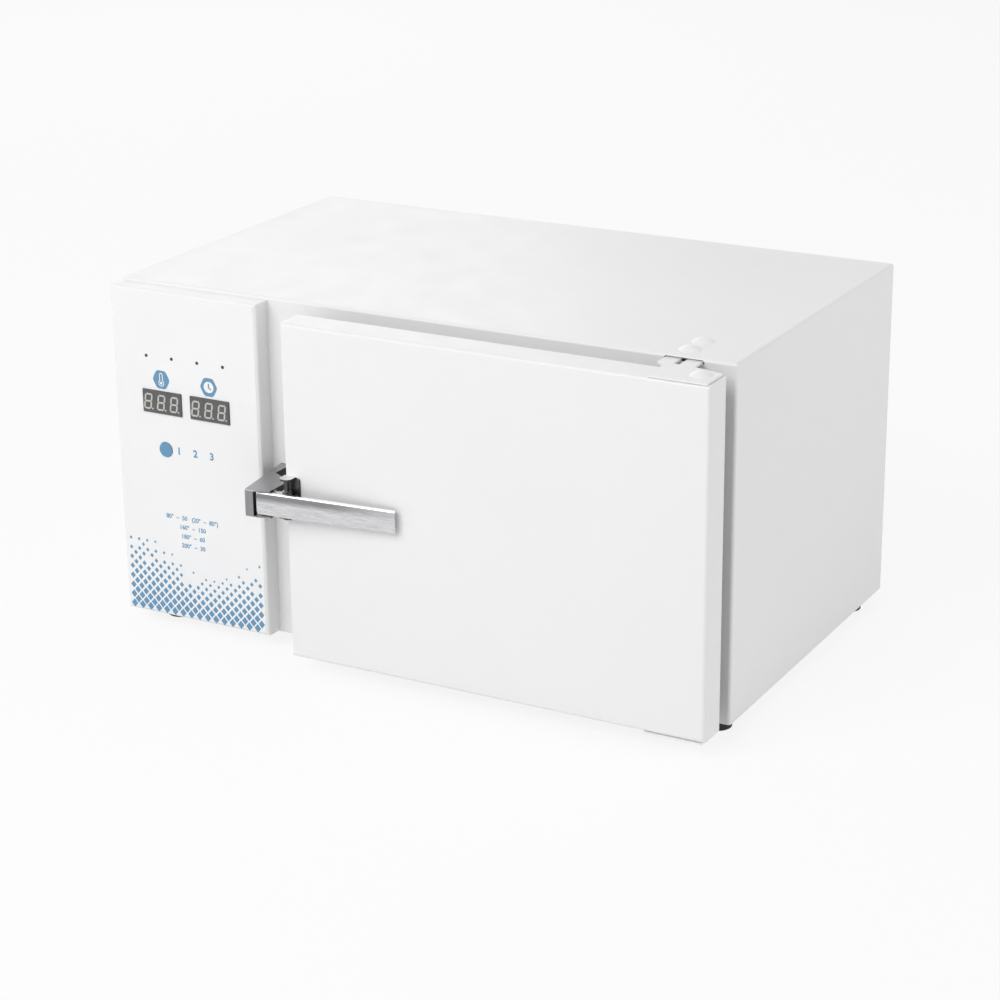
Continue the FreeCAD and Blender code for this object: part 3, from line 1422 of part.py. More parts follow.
def door_insulation():
    """Wool board in the door, clear of the bushes and the rivets."""
    board = block((f"({door_left} + dim.door_sheet)", door_inside, f"({door_bottom} + dim.door_sheet)"),
                  ("(dim.cabinet_width - dim.door_sheet)", f"({panel_front} - dim.door_sheet)",
                   f"({door_top} - dim.door_sheet)"))
    room = "(dim.bush_flange_radius + dim.fit_gap)"
    depth = "(dim.pivot_length + 2 * dim.fit_gap)"
    tools = [
        rod("z", (pivot_x, pivot_y, f"{door_top} - {depth}"), room, f"{depth} + dim.overrun"),
        rod("z", (pivot_x, pivot_y, f"{door_bottom} - dim.overrun"), room, f"{depth} + dim.overrun"),
    ]
    for x, z in rivet_places:
        tools.append(rod("y", (x, f"{door_inside} - dim.overrun", z), "dim.rivet_head_radius + dim.fit_gap",
                         "dim.overrun + dim.rivet_head + dim.fit_gap"))
    for x, z in door_screw_places:
        tools.append(rod("y", (x, f"{panel_front} - dim.door_sheet - dim.rivet_head - dim.fit_gap", z),
                         "dim.rivet_radius + dim.fit_gap", "dim.overrun"))
    finish(carve(board, *tools), "door_insulation")


def door_gasket():
    """Silicone frame on the raised centre, just short of the case front."""
    body = new_body("door_gasket")
    inner_left = f"({chamber_left} - dim.gasket_overlap)"
    inner_right = f"({chamber_right} + dim.gasket_overlap)"
    inner_bottom = f"({chamber_bottom} - dim.gasket_overlap)"
    inner_top = f"({chamber_top} + dim.gasket_overlap)"
    start = f"({door_rear} + dim.plug_depth)"
    depth = f"(0 - dim.fit_gap - {start})"
    frame = new_sketch(body, "front")
    left = f"({inner_left} - dim.gasket_width)"
    right = f"({inner_right} + dim.gasket_width)"
    bottom = f"({inner_bottom} - dim.gasket_width)"
    top = f"({inner_top} + dim.gasket_width)"
    draw_box(frame, (left, bottom), (right, top))
    draw_box(frame, (inner_left, inner_bottom), (inner_right, inner_top))
    add(body, frame, depth)
    half = f"{depth} / 2"
    round_edges(body, "dim.gasket_corner - dim.gasket_bend",
                *[(x, half, z) for x in (left, right) for z in (bottom, top)])
    round_edges(body, "dim.gasket_bend",
                *[(x, half, z) for x in (inner_left, inner_right) for z in (inner_bottom, inner_top)])
    finish(body, "door_gasket", y=start)


def door_panel_screws():
    """Small screws round the door's inner panel."""
    screws = []
    for x, z in door_screw_places:
        screws.append(screw("y", (x, door_rear, z), "-", "dim.rivet_head_radius", "dim.rivet_head",
                            "dim.rivet_radius",
                            "(dim.panel_sheet + dim.door_sheet + dim.rivet_head)"))
    finish(group(screws), "door_panel_screws")


# Latch

keeper_left = partition_right
keeper_leg_right = f"({keeper_left} + dim.keeper_leg_width)"
keeper_nose_left = f"({keeper_left} + dim.keeper_shift)"
keeper_front = "(0 - dim.keeper_reach)"


def latch_keeper():
    """Bracket out of the case front: two flanges joined by a bent lip and by a leg web."""
    body = new_body("latch_keeper")
    throat = "(0 - dim.keeper_throat)"
    outline = [
        (keeper_left, "dim.keeper_tail"),
        (keeper_left, "0"),
        (keeper_nose_left, keeper_front),
        (f"{keeper_nose_left} + dim.keeper_lip", keeper_front),
        (f"{keeper_nose_left} + dim.keeper_head_width", f"{keeper_front} + dim.keeper_front_skew"),
        (f"{keeper_nose_left} + dim.keeper_head_width", f"{keeper_front} + dim.keeper_head_depth"),
        (keeper_leg_right, throat),
        (keeper_leg_right, "dim.keeper_tail"),
    ]
    for level in (keeper_bottom, f"({keeper_top} - dim.keeper_sheet)"):
        flange = new_sketch(body, "plan", level)
        draw(flange, *outline)
        if level == keeper_bottom:
            add(body, flange, "dim.keeper_sheet")
            webs = new_sketch(body, "plan", level)
            draw_box(webs, (keeper_nose_left, keeper_front),
                     (f"{keeper_nose_left} + dim.keeper_lip", f"{keeper_front} + dim.keeper_sheet"))
            draw_box(webs, (f"{keeper_nose_left} + dim.keeper_lip - dim.keeper_sheet",
                            f"{keeper_front} + dim.keeper_sheet"),
                     (f"{keeper_nose_left} + dim.keeper_lip",
                      f"{keeper_front} + dim.keeper_return"))
            draw_box(webs, (f"{keeper_leg_right} - dim.keeper_sheet", throat),
                     (keeper_leg_right, "0"))
            draw_box(webs, (keeper_left, "dim.case_sheet + dim.case_bend"),
                     (f"{keeper_left} + dim.keeper_sheet", "dim.keeper_tail"))
            add(body, webs, f"{keeper_top} - {keeper_bottom}")
        else:
            add(body, flange, "dim.keeper_sheet")
    lip_middle = f"({keeper_nose_left} + dim.keeper_lip / 2)"
    round_edges(body, "dim.keeper_bend", (lip_middle, keeper_front, keeper_bottom),
                (lip_middle, keeper_front, keeper_top))
    holes = new_sketch(body, "side", f"{keeper_left} - dim.overrun")
    for place in keeper_screw_places:
        draw_ring(holes, place, "dim.screw_radius + dim.tight_gap")
    cut(body, holes, "dim.overrun + dim.keeper_sheet")
    finish(body, "latch_keeper")


def keeper_screws():
    """Screws that hold the keeper to the partition."""
    screws = []
    for y, z in keeper_screw_places:
        bolt = screw("x", (partition_left, y, z), "+", "dim.screw_head_radius",
                     "dim.screw_head_height", "dim.screw_radius",
                     "(dim.case_sheet + dim.keeper_sheet + dim.nut_height)")
        nut = rod("x", (f"({keeper_left} + dim.keeper_sheet)", y, z), "dim.nut_radius",
                  "dim.nut_height")
        screws.append(join(bolt, nut))
    finish(group(screws), "keeper_screws")


def latch_base():
    """Bracket on the door: back plate with a flange at the top and the bottom for the pin."""
    body = new_body("latch_base")
    plate_right = f"({door_left} + dim.base_width)"
    side = new_sketch(body, "front", door_front)
    draw_box(side, (door_left, base_bottom), (plate_right, base_top))
    add(body, side, "dim.base_sheet", "-")
    half_y = f"{door_front} - dim.base_sheet / 2"
    round_edges(body, "dim.base_corner", (plate_right, half_y, base_top),
                (plate_right, half_y, base_bottom))
    reach = f"({door_front} - dim.base_reach)"
    ear_right = f"({plate_right} - dim.base_corner)"
    upper_level = f"({base_top} - dim.base_sheet)"
    upper = new_sketch(body, "plan", upper_level)
    draw_box(upper, (door_left, reach), (ear_right, door_front))
    add(body, upper, "dim.base_sheet")
    lower = new_sketch(body, "plan", base_bottom)
    draw_box(lower, (door_left, f"{latch_pin_y} - dim.handle_ear_radius"),
             (ear_right, door_front))
    add(body, lower, "dim.base_sheet")
    half_z = f"{upper_level} + dim.base_sheet / 2"
    round_edges(body, "dim.base_tip", (door_left, reach, half_z), (ear_right, reach, half_z))
    bore = new_sketch(body, "plan", f"{base_bottom} - dim.overrun")
    draw_ring(bore, (latch_pin_x, latch_pin_y), "dim.latch_pin_radius + dim.tight_gap")
    cut(body, bore, f"{base_top} - {base_bottom} + 2 * dim.overrun")
    holes = new_sketch(body, "front", f"{door_front} - dim.overrun")
    for place in rivet_places:
        draw_ring(holes, place, "dim.rivet_radius + dim.tight_gap")
    cut(body, holes, "2 * dim.overrun")
    finish(body, "latch_base")


def latch_base_rivets():
    """Rivets through the latch base and the door's front sheet."""
    rivets = []
    for x, z in rivet_places:
        face = f"({door_front} - dim.base_sheet)"
        rivet = screw("y", (x, face, z), "+", "dim.rivet_head_radius", "dim.rivet_head",
                      "dim.rivet_radius", "(dim.base_sheet + dim.door_sheet)")
        upset = rod("y", (x, door_inside, z), "dim.rivet_head_radius", "dim.rivet_head")
        rivets.append(join(rivet, upset))
    finish(group(rivets), "latch_base_rivets")


def latch_pin():
    """Pin through the latch base and the handle, with its head below the base."""
    head = rod("z", (latch_pin_x, latch_pin_y, f"{base_bottom} - dim.latch_pin_head"),
               "dim.latch_pin_head_radius", "dim.latch_pin_head")
    shank = rod("z", (latch_pin_x, latch_pin_y, base_bottom), "dim.latch_pin_radius",
                f"{base_top} - {base_bottom}")
    finish(join(head, shank), "latch_pin")


def latch_ring():
    """Ring on the pin that keeps the handle down."""
    level = f"({bar_top} + dim.latch_clearance)"
    ring = rod("z", (latch_pin_x, latch_pin_y, level), "dim.latch_ring_radius",
               "dim.latch_ring_height")
    bore = rod("z", (latch_pin_x, latch_pin_y, f"{level} - dim.overrun"),
               "dim.latch_pin_radius + dim.tight_gap", "dim.latch_ring_height + 2 * dim.overrun")
    finish(carve(ring, bore), "latch_ring")


def latch_handle():
    """Channel-shaped lever with an ear at the top and the bottom round the pin."""
    body = new_body("latch_handle")
    front = "(0 - dim.handle_front)"
    rear = f"({front} + dim.handle_depth)"
    left = "(0 - dim.handle_left)"
    plan = new_sketch(body, "plan")
    draw(plan, (left, front), ("dim.handle_right", front),
         ("dim.handle_right", f"{front} + dim.handle_end_depth"),
         ("0 - dim.handle_ear_end", f"{front} + dim.handle_waist"),
         ("dim.handle_ear_radius", "0"), ("0 - dim.handle_ear_radius", "0"), (left, rear))
    add(body, plan, "dim.handle_height")
    half_x = "(dim.handle_right - dim.handle_left) / 2"
    round_edges(body, "dim.handle_bend + dim.handle_sheet", (half_x, front, "0"),
                (half_x, front, "dim.handle_height"))
    ears = new_sketch(body, "plan")
    draw_ring(ears, ("0", "0"), "dim.handle_ear_radius")
    add(body, ears, "dim.handle_height")
    room = new_sketch(body, "front", f"{front} + dim.handle_sheet")
    draw_box(room, (f"{left} - dim.overrun", "dim.handle_sheet"),
             ("dim.handle_right + dim.overrun", "dim.handle_height - dim.handle_sheet"))
    cut(body, room, "dim.overrun + dim.handle_front")
    corners = new_sketch(body, "front", f"{front} - dim.overrun")
    inner = f"({left} + dim.handle_corner)"
    outer = f"({left} - dim.overrun)"
    step = f"({left} + dim.handle_corner_step)"
    draw(corners, (outer, "0 - dim.overrun"), (inner, "0 - dim.overrun"), (inner, "0"),
         (step, "dim.handle_corner_step"), (left, "dim.handle_corner"),
         (outer, "dim.handle_corner"))
    over = "(dim.handle_height + dim.overrun)"
    under = "(dim.handle_height - dim.handle_corner)"
    draw(corners, (outer, over), (outer, under), (left, under),
         (step, "dim.handle_height - dim.handle_corner_step"), (inner, "dim.handle_height"),
         (inner, over))
    cut(body, corners, "dim.overrun + dim.handle_depth + dim.overrun")
    bore = new_sketch(body, "plan", "0 - dim.overrun")
    draw_ring(bore, ("0", "0"), "dim.latch_pin_radius + dim.running_gap")
    cut(body, bore, "dim.handle_height + 2 * dim.overrun")
    body.Placement.Rotation = Rotation(Vector(0, 0, 1), 0)
    finish(body, "latch_handle", latch_pin_x, latch_pin_y, bar_bottom)
    body.setExpression(".Placement.Rotation.Angle", "dim.handle_tilt")


# Feet and fasteners

def feet():
    """Four tapered rubber feet, recessed for their screws."""
    rubber = []
    for x, y in foot_places:
        foot = cone((x, y, "0 - dim.foot_height"), "dim.foot_base_radius", "dim.foot_radius",
                    "dim.foot_height")
        recess = rod("z", (x, y, "0 - dim.foot_height - dim.overrun"), "dim.foot_recess_radius",
                     "dim.overrun + dim.foot_recess")
        bore = rod("z", (x, y, "0 - dim.foot_height - dim.overrun"),
                   "dim.screw_radius + dim.tight_gap", "2 * dim.overrun + dim.foot_height")
        rubber.append(carve(foot, recess, bore))
    finish(group(rubber), "feet")


def foot_screws():
    """Screws up through the feet and the base plate, with their nuts."""
    screws = []
    for x, y in foot_places:
        bolt = screw("z", (x, y, "(dim.foot_recess - dim.foot_height)"), "+",
                     "dim.screw_head_radius", "dim.screw_head_height", "dim.screw_radius",
                     "(dim.foot_height - dim.foot_recess + dim.case_sheet + dim.nut_height)")
        nut = rod("z", (x, y, "dim.case_sheet"), "dim.nut_radius", "dim.nut_height")
        screws.append(join(bolt, nut))
    finish(group(screws), "foot_screws")


def rear_panel_screws():
    """Screws that hold the rear panel to the case flange."""
    screws = []
    for x, z in rear_screw_places:
        screws.append(screw("y", (x, "dim.cabinet_depth", z), "-", "dim.rivet_head_radius",
                            "dim.rivet_head", "dim.rivet_radius", "(2 * dim.case_sheet)"))
    finish(group(screws), "rear_panel_screws")


def build():
    """Make every piece of the object."""
    case_front()
    outer_case()
    rear_flange()
    base_plate()
    rear_panel()
    partition_wall()
    chamber_liner()
    heating_plates()
    chamber_insulation()
    temperature_probe()
    thermal_cutout()
    tray_runners()
    for label, share in zip(("lower_tray", "upper_tray"), LEVEL_SHARES):
        tray(label, share)
    control_panel_housing()
    panel_overlay()
    for label, place in zip(("temperature_display", "time_display"), display_places):
        display(label, place)
    indicator_leds()
    control_board()
    board_spacers()
    program_button()
    button_switch()
    power_board()
    board_pillars()
    transformer()
    terminal_block()
    power_inlet()
    power_switch_housing()
    switch_rocker()
    hinge_plate("hinge_plate_top", hinge_under)
    hinge_plate("hinge_plate_bottom", mirrored(hinge_top))
    hinge_spacers()
    hinge_screws()
    hinge_pins()
    hinge_bushes()
    screw_caps()
    door_outer_shell()
    door_inner_panel()
    door_insulation()
    door_gasket()
    door_panel_screws()
    latch_keeper()
    keeper_screws()
    latch_base()
    latch_base_rivets()
    latch_pin()
    latch_ring()
    latch_handle()
    feet()
    foot_screws()
    rear_panel_screws()


def export():
    """Check every object and piece, then write each piece to its own file."""
    doc.recompute()
    for item in doc.Objects:
        if {"Invalid", "Error"} & set(item.State):
            raise RuntimeError(f"{item.Label} failed: {item.State}")
    for piece in pieces:
        if piece.Shape.isNull() or not piece.Shape.isValid():
            raise RuntimeError(f"{piece.Label} has no valid shape")
    os.makedirs("parts", exist_ok=True)
    for piece in pieces:
        piece.Shape.exportStep(f"parts/{piece.Label}.step")
        print(f"{piece.Label}: {len(piece.Shape.Solids)} solid(s), {piece.Shape.Volume:.0f} mm3")


build()
export()
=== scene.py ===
import json
import math
import random

import bmesh
import bpy
from mathutils import Matrix, Vector


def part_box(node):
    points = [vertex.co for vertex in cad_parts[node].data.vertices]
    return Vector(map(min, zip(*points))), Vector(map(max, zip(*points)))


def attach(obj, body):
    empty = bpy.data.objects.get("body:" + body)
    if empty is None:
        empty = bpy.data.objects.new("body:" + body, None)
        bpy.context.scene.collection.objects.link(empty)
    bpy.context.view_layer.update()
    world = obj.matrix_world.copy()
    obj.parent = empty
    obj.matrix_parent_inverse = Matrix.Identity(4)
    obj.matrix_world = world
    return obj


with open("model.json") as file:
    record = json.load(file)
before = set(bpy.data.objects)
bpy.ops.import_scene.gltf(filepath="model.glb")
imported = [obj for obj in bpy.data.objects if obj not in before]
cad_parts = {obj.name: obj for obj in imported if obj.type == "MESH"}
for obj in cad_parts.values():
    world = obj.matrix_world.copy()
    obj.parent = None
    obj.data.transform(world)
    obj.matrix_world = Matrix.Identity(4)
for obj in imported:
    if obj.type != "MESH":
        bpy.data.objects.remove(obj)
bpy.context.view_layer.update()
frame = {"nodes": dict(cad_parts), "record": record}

# Looks of a bench-top dry heat sterilizer, in metres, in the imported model's frame
MM = 0.001

# Camera: where it stands, how it is turned, and its focal length as a share of the picture's width
CAMERA_PLACE = Vector((0.9967, -1.7992, 0.8474))
CAMERA_AZIMUTH = math.radians(28.82)
CAMERA_ELEVATION = math.radians(19.83)
CAMERA_ROLL = math.radians(-0.60)
FOCAL_SHARE = 2.636
SENSOR_WIDTH = 36.0
CLIP_RANGE = (0.05, 60.0)


def corners(node):
    """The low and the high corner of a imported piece's box."""
    low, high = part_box(node)
    return Vector(low), Vector(high)


OVERLAY_LOW, OVERLAY_HIGH = corners("panel_overlay")
PANEL_MIDDLE = (OVERLAY_LOW.x + OVERLAY_HIGH.x) / 2
PRINT_FACE = OVERLAY_LOW.y


def linear(red, green, blue):
    """A colour given as it looks on a screen, 0 to 255, as linear light."""
    def one(value):
        share = value / 255
        return share / 12.92 if share <= 0.04045 else ((share + 0.055) / 1.055) ** 2.4
    return (one(red), one(green), one(blue), 1.0)


WHITE = linear(255, 255, 255)
PRINT_BLUE = linear(101, 149, 185)
ENAMEL = linear(241, 241, 241)
FILM = linear(243, 243, 244)
STEEL = linear(196, 197, 199)
BLACK_PLASTIC = linear(26, 26, 27)


def tinted(colour, share):
    """A colour made lighter or darker by a share."""
    return tuple(min(1.0, value * share) for value in colour[:3]) + (1.0,)


# Materials

class Shade:
    """A node material under construction, with its main shader at hand."""

    def __init__(self, name):
        self.material = bpy.data.materials.new(name)
        self.material.use_nodes = True
        self.nodes = self.material.node_tree.nodes
        self.links = self.material.node_tree.links
        self.shader = self.nodes["Principled BSDF"]
        coordinates = self.nodes.new("ShaderNodeTexCoord")
        self.place = coordinates.outputs["Object"]
        self.normal = coordinates.outputs["Normal"]

    def set(self, **values):
        """Set sockets of the shader that are the same all over the surface."""
        for name, value in values.items():
            self.shader.inputs[name.replace("_", " ")].default_value = value
        return self

    def stretched(self, scale):
        """Object coordinates stretched along the axes."""
        node = self.nodes.new("ShaderNodeMapping")
        node.inputs["Scale"].default_value = scale
        self.links.new(self.place, node.inputs["Vector"])
        return node.outputs["Vector"]

    def noise(self, scale, detail=3.0, roughness=0.5, stretch=None):
        """Soft random values from 0 to 1; scale is in waves per metre."""
        node = self.nodes.new("ShaderNodeTexNoise")
        node.inputs["Scale"].default_value = scale
        node.inputs["Detail"].default_value = detail
        node.inputs["Roughness"].default_value = roughness
        source = self.stretched(stretch) if stretch else self.place
        self.links.new(source, node.inputs["Vector"])
        return node.outputs["Fac"]

    def cells(self, scale, feature="F1"):
        """Distances of a cell pattern; scale is in cells per metre."""
        node = self.nodes.new("ShaderNodeTexVoronoi")
        node.feature = feature
        node.inputs["Scale"].default_value = scale
        self.links.new(self.place, node.inputs["Vector"])
        return node.outputs["Distance"]

    def span(self, value, low, high, start=0.3, end=0.7):
        """A value that runs from start to end, laid between low and high."""
        node = self.nodes.new("ShaderNodeMapRange")
        node.inputs["From Min"].default_value = start
        node.inputs["From Max"].default_value = end
        node.inputs["To Min"].default_value = low
        node.inputs["To Max"].default_value = high
        self.links.new(value, node.inputs["Value"])
        return node.outputs["Result"]

    def blend(self, factor, first, second):
        """A colour between two colours, given or worked out."""
        node = self.nodes.new("ShaderNodeMix")
        node.data_type = "RGBA"
        for socket, colour in (("A", first), ("B", second)):
            if isinstance(colour, tuple):
                node.inputs[socket].default_value = colour
            else:
                self.links.new(colour, node.inputs[socket])
        self.links.new(factor, node.inputs["Factor"])
        return node.outputs["Result"]

    def arithmetic(self, operation, *terms):
        """A value worked out from terms that are numbers or worked out themselves."""
        node = self.nodes.new("ShaderNodeMath")
        node.operation = operation
        for socket, term in zip(node.inputs, terms):
            if isinstance(term, float):
                socket.default_value = term
            else:
                self.links.new(term, socket)
        return node.outputs["Value"]

    def measured(self, vector, axis, start, end):
        """0 to 1 between two measures of a vector along an axis."""
        node = self.nodes.new("ShaderNodeVectorMath")
        node.operation = "DOT_PRODUCT"
        node.inputs[1].default_value = axis
        self.links.new(vector, node.inputs[0])
        return self.span(node.outputs["Value"], 0.0, 1.0, start, end)

    def facing(self, axis, start, end):
        """1 where the surface looks along an axis of its piece, 0 where it looks away."""
        return self.measured(self.normal, axis, start, end)

    def along(self, axis, start, end):
        """0 to 1 between two places of an axis, in metres."""
        return self.measured(self.place, axis, start, end)

    def colour(self, output):
        """Give the surface a colour that was worked out."""
        self.links.new(output, self.shader.inputs["Base Color"])

    def mottled(self, colour, scale, dark, light):
        """Give the surface a colour that varies softly between two shares of itself."""
        clouds = self.span(self.noise(scale), 0.0, 1.0)
        self.colour(self.blend(clouds, tinted(colour, dark), tinted(colour, light)))

    def roughness(self, output):
        """Give the surface a roughness that was worked out."""
        self.links.new(output, self.shader.inputs["Roughness"])

    def bump(self, output, strength, distance):
        """Relief; the distance is its height in metres."""
        node = self.nodes.new("ShaderNodeBump")
        node.inputs["Strength"].default_value = strength
        node.inputs["Distance"].default_value = distance
        self.links.new(output, node.inputs["Height"])
        self.links.new(node.outputs["Normal"], self.shader.inputs["Normal"])


def powder_coat(name):
    """White powder coat: fine orange peel and a faint unevenness."""
    shade = Shade(name).set(IOR=1.5)
    shade.mottled(ENAMEL, 9.0, 0.993, 1.004)
    shade.roughness(shade.span(shade.noise(40.0), 0.36, 0.46))
    shade.bump(shade.noise(650.0, 2.0), 0.06, 0.0004)
    return shade.material


def printed_film(name):
    """Matt white polyester film."""
    shade = Shade(name).set(IOR=1.5)
    shade.mottled(FILM, 14.0, 0.99, 1.01)
    shade.roughness(shade.span(shade.noise(60.0), 0.3, 0.38))
    shade.bump(shade.noise(2500.0, 1.0), 0.03, 0.0001)
    return shade.material


def print_ink(name, colour):
    """Screen print ink."""
    shade = Shade(name).set(IOR=1.48)
    shade.mottled(colour, 400.0, 0.96, 1.04)
    shade.roughness(shade.span(shade.noise(900.0), 0.34, 0.44))
    shade.bump(shade.noise(3000.0, 1.0), 0.04, 0.0001)
    return shade.material


def moulded(name, colour, low, high, grain=1800.0, strength=0.05):
    """Moulded plastic with a faint grain; low and high bound its roughness."""
    shade = Shade(name).set(IOR=1.48)
    shade.mottled(colour, 60.0, 0.97, 1.03)
    shade.roughness(shade.span(shade.noise(120.0), low, high))
    shade.bump(shade.noise(grain, 2.0), strength, 0.0002)
    return shade.material


BAND_STRETCH = 0.16
BAND_SHARE = 0.45
STREAK_SHARE = 0.6


def brushed(name, stretch, low, high):
    """Brushed stainless steel with broad bands; the stretch is small along the grain."""
    shade = Shade(name).set(Metallic=1.0)
    grain = shade.noise(1.0, 4.0, 0.65, stretch)
    bands = shade.noise(1.0, 2.0, 0.5, tuple(value * BAND_STRETCH for value in stretch))
    streaks = shade.arithmetic("MULTIPLY_ADD", bands, BAND_SHARE,
                               shade.span(grain, 0.0, STREAK_SHARE))
    shade.colour(shade.blend(streaks, tinted(STEEL, 0.84), tinted(STEEL, 1.16)))
    shade.roughness(shade.span(grain, low, high))
    shade.bump(grain, 0.12, 0.0001)
    return shade.material


def steel_with_painted_light(name, stretch, top, front, side, contrast=0.14):
    """Brushed steel with painted light: a tone of its own on the faces that look up, forward and
    sideways.
    """
    shade = Shade(name).set(Metallic=1.0)
    grain = shade.noise(1.0, 4.0, 0.65, stretch)
    streaks = shade.span(grain, 0.0, 1.0)
    painted_light_tones = [shade.blend(streaks, tinted(colour, 1 - contrast), tinted(colour, 1 + contrast))
             for colour in (top, front, side)]
    # Painted light and shade: the tone follows which way a face looks, not where the lamps are
    upright = shade.blend(shade.facing((1.0, 0.0, 0.0), 0.45, 0.8), painted_light_tones[1], painted_light_tones[2])
    shade.colour(shade.blend(shade.facing((0.0, 0.0, 1.0), 0.45, 0.9), upright, painted_light_tones[0]))
    shade.roughness(shade.span(grain, 0.32, 0.48))
    shade.bump(grain, 0.1, 0.0001)
    return shade.material


LEVER_LOW, LEVER_HIGH = corners("latch_handle")
LEVER_LEVEL = (LEVER_LOW.z + LEVER_HIGH.z) / 2
# Band of painted dark reflection below the lever's top bend: its lower and upper level, and its
# length from the right end
PAINTED_REFLECTION_START = LEVER_LEVEL + 0.8 * MM
PAINTED_REFLECTION_END = LEVER_LEVEL + 5.2 * MM
PAINTED_REFLECTION_LENGTH = 60 * MM


def lever_steel(name):
    """Brushed channel of the lever: a painted highlight on the bend at the top, with a painted dark
    reflection in a band below it.
    """
    shade = Shade(name).set(Metallic=1.0)
    grain = shade.noise(1.0, 4.0, 0.65, (45.0, 900.0, 1300.0))
    bands = shade.noise(1.0, 2.0, 0.5, (8.0, 90.0, 190.0))
    fine = shade.blend(shade.span(grain, 0.0, 1.0), linear(188, 188, 190), linear(236, 236, 238))
    broad = shade.blend(shade.span(bands, 0.0, 0.35), fine, linear(206, 207, 209))
    # Painted dark reflection: a band below the bend, stronger away from the lever's right end
    rise = shade.along((0.0, 0.0, 1.0), PAINTED_REFLECTION_START, PAINTED_REFLECTION_END)
    reach = shade.along((1.0, 0.0, 0.0), LEVER_HIGH.x, LEVER_HIGH.x - PAINTED_REFLECTION_LENGTH)
    painted_reflection_mask = shade.arithmetic("MULTIPLY", rise, shade.span(reach, 0.15, 0.75, 0.0, 1.0))
    with_painted_reflection = shade.blend(painted_reflection_mask, broad, linear(104, 104, 106))
    # Painted highlight: faces that look up turn near white
    painted_highlight_mask = shade.facing((0.0, 0.0, 1.0), 0.25, 0.75)
    shade.colour(shade.blend(painted_highlight_mask, with_painted_reflection, linear(250, 250, 250)))
    shade.roughness(shade.span(grain, 0.22, 0.4))
    shade.bump(grain, 0.1, 0.0001)
    return shade.material


def satin_sheet(name, colour, low, high):
    """Plain rolled sheet with a soft directional grain and clouds."""
    shade = Shade(name).set(Metallic=1.0)
    grain = shade.noise(1.0, 3.0, 0.6, (900.0, 60.0, 900.0))
    shade.mottled(colour, 25.0, 0.93, 1.04)
    shade.roughness(shade.span(grain, low, high))
    shade.bump(grain, 0.05, 0.0001)
    return shade.material


def galvanised(name, colour):
    """Zinc coat with faint spangles."""
    shade = Shade(name).set(Metallic=1.0)
    spangle = shade.cells(160.0)
    shade.colour(shade.blend(shade.span(spangle, 0.0, 1.0, 0.0, 0.9),
                             tinted(colour, 0.88), tinted(colour, 1.08)))
    shade.roughness(shade.span(spangle, 0.34, 0.5, 0.0, 0.9))
    shade.bump(shade.noise(900.0, 2.0), 0.04, 0.0001)
    return shade.material


def mineral_wool(name):
    """Pressed wool with short fibres."""
    shade = Shade(name).set(Sheen_Weight=0.3)
    fibres = shade.noise(1.0, 6.0, 0.75, (700.0, 220.0, 500.0))
    shade.colour(shade.blend(shade.span(fibres, 0.0, 1.0),
                             linear(196, 182, 138), linear(236, 228, 196)))
    shade.roughness(shade.span(fibres, 0.85, 0.98))
    shade.bump(fibres, 0.7, 0.0015)
    return shade.material


def circuit_board(name):
    """Green solder mask with a fine pattern of tracks under it."""
    shade = Shade(name).set(IOR=1.5, Coat_Weight=0.4, Coat_Roughness=0.15)
    tracks = shade.cells(260.0, "DISTANCE_TO_EDGE")
    shade.colour(shade.blend(shade.span(tracks, 0.0, 1.0, 0.08, 0.14),
                             linear(38, 118, 70), linear(16, 82, 44)))
    shade.roughness(shade.span(shade.noise(90.0), 0.3, 0.42))
    shade.bump(tracks, 0.12, 0.0002)
    return shade.material


def rubber(name, colour, spread):
    """Moulded rubber with a dry surface; the spread is how much its tone varies."""
    shade = Shade(name).set(IOR=1.5)
    shade.mottled(colour, 120.0, 1 - spread, 1 + spread)
    shade.roughness(shade.span(shade.noise(300.0), 0.62, 0.8))
    shade.bump(shade.noise(1500.0, 3.0), 0.2, 0.0003)
    return shade.material


def display_window(name):
    """Dark tinted window of a display module."""
    shade = Shade(name).set(IOR=1.5)
    shade.colour(shade.blend(shade.span(shade.noise(220.0), 0.0, 1.0),
                             linear(84, 84, 86), linear(92, 92, 93)))
    shade.roughness(shade.span(shade.noise(400.0), 0.32, 0.42))
    shade.bump(shade.noise(2200.0, 1.0), 0.03, 0.0001)
    return shade.material


UPRIGHT_GRAIN = (1500.0, 900.0, 40.0)

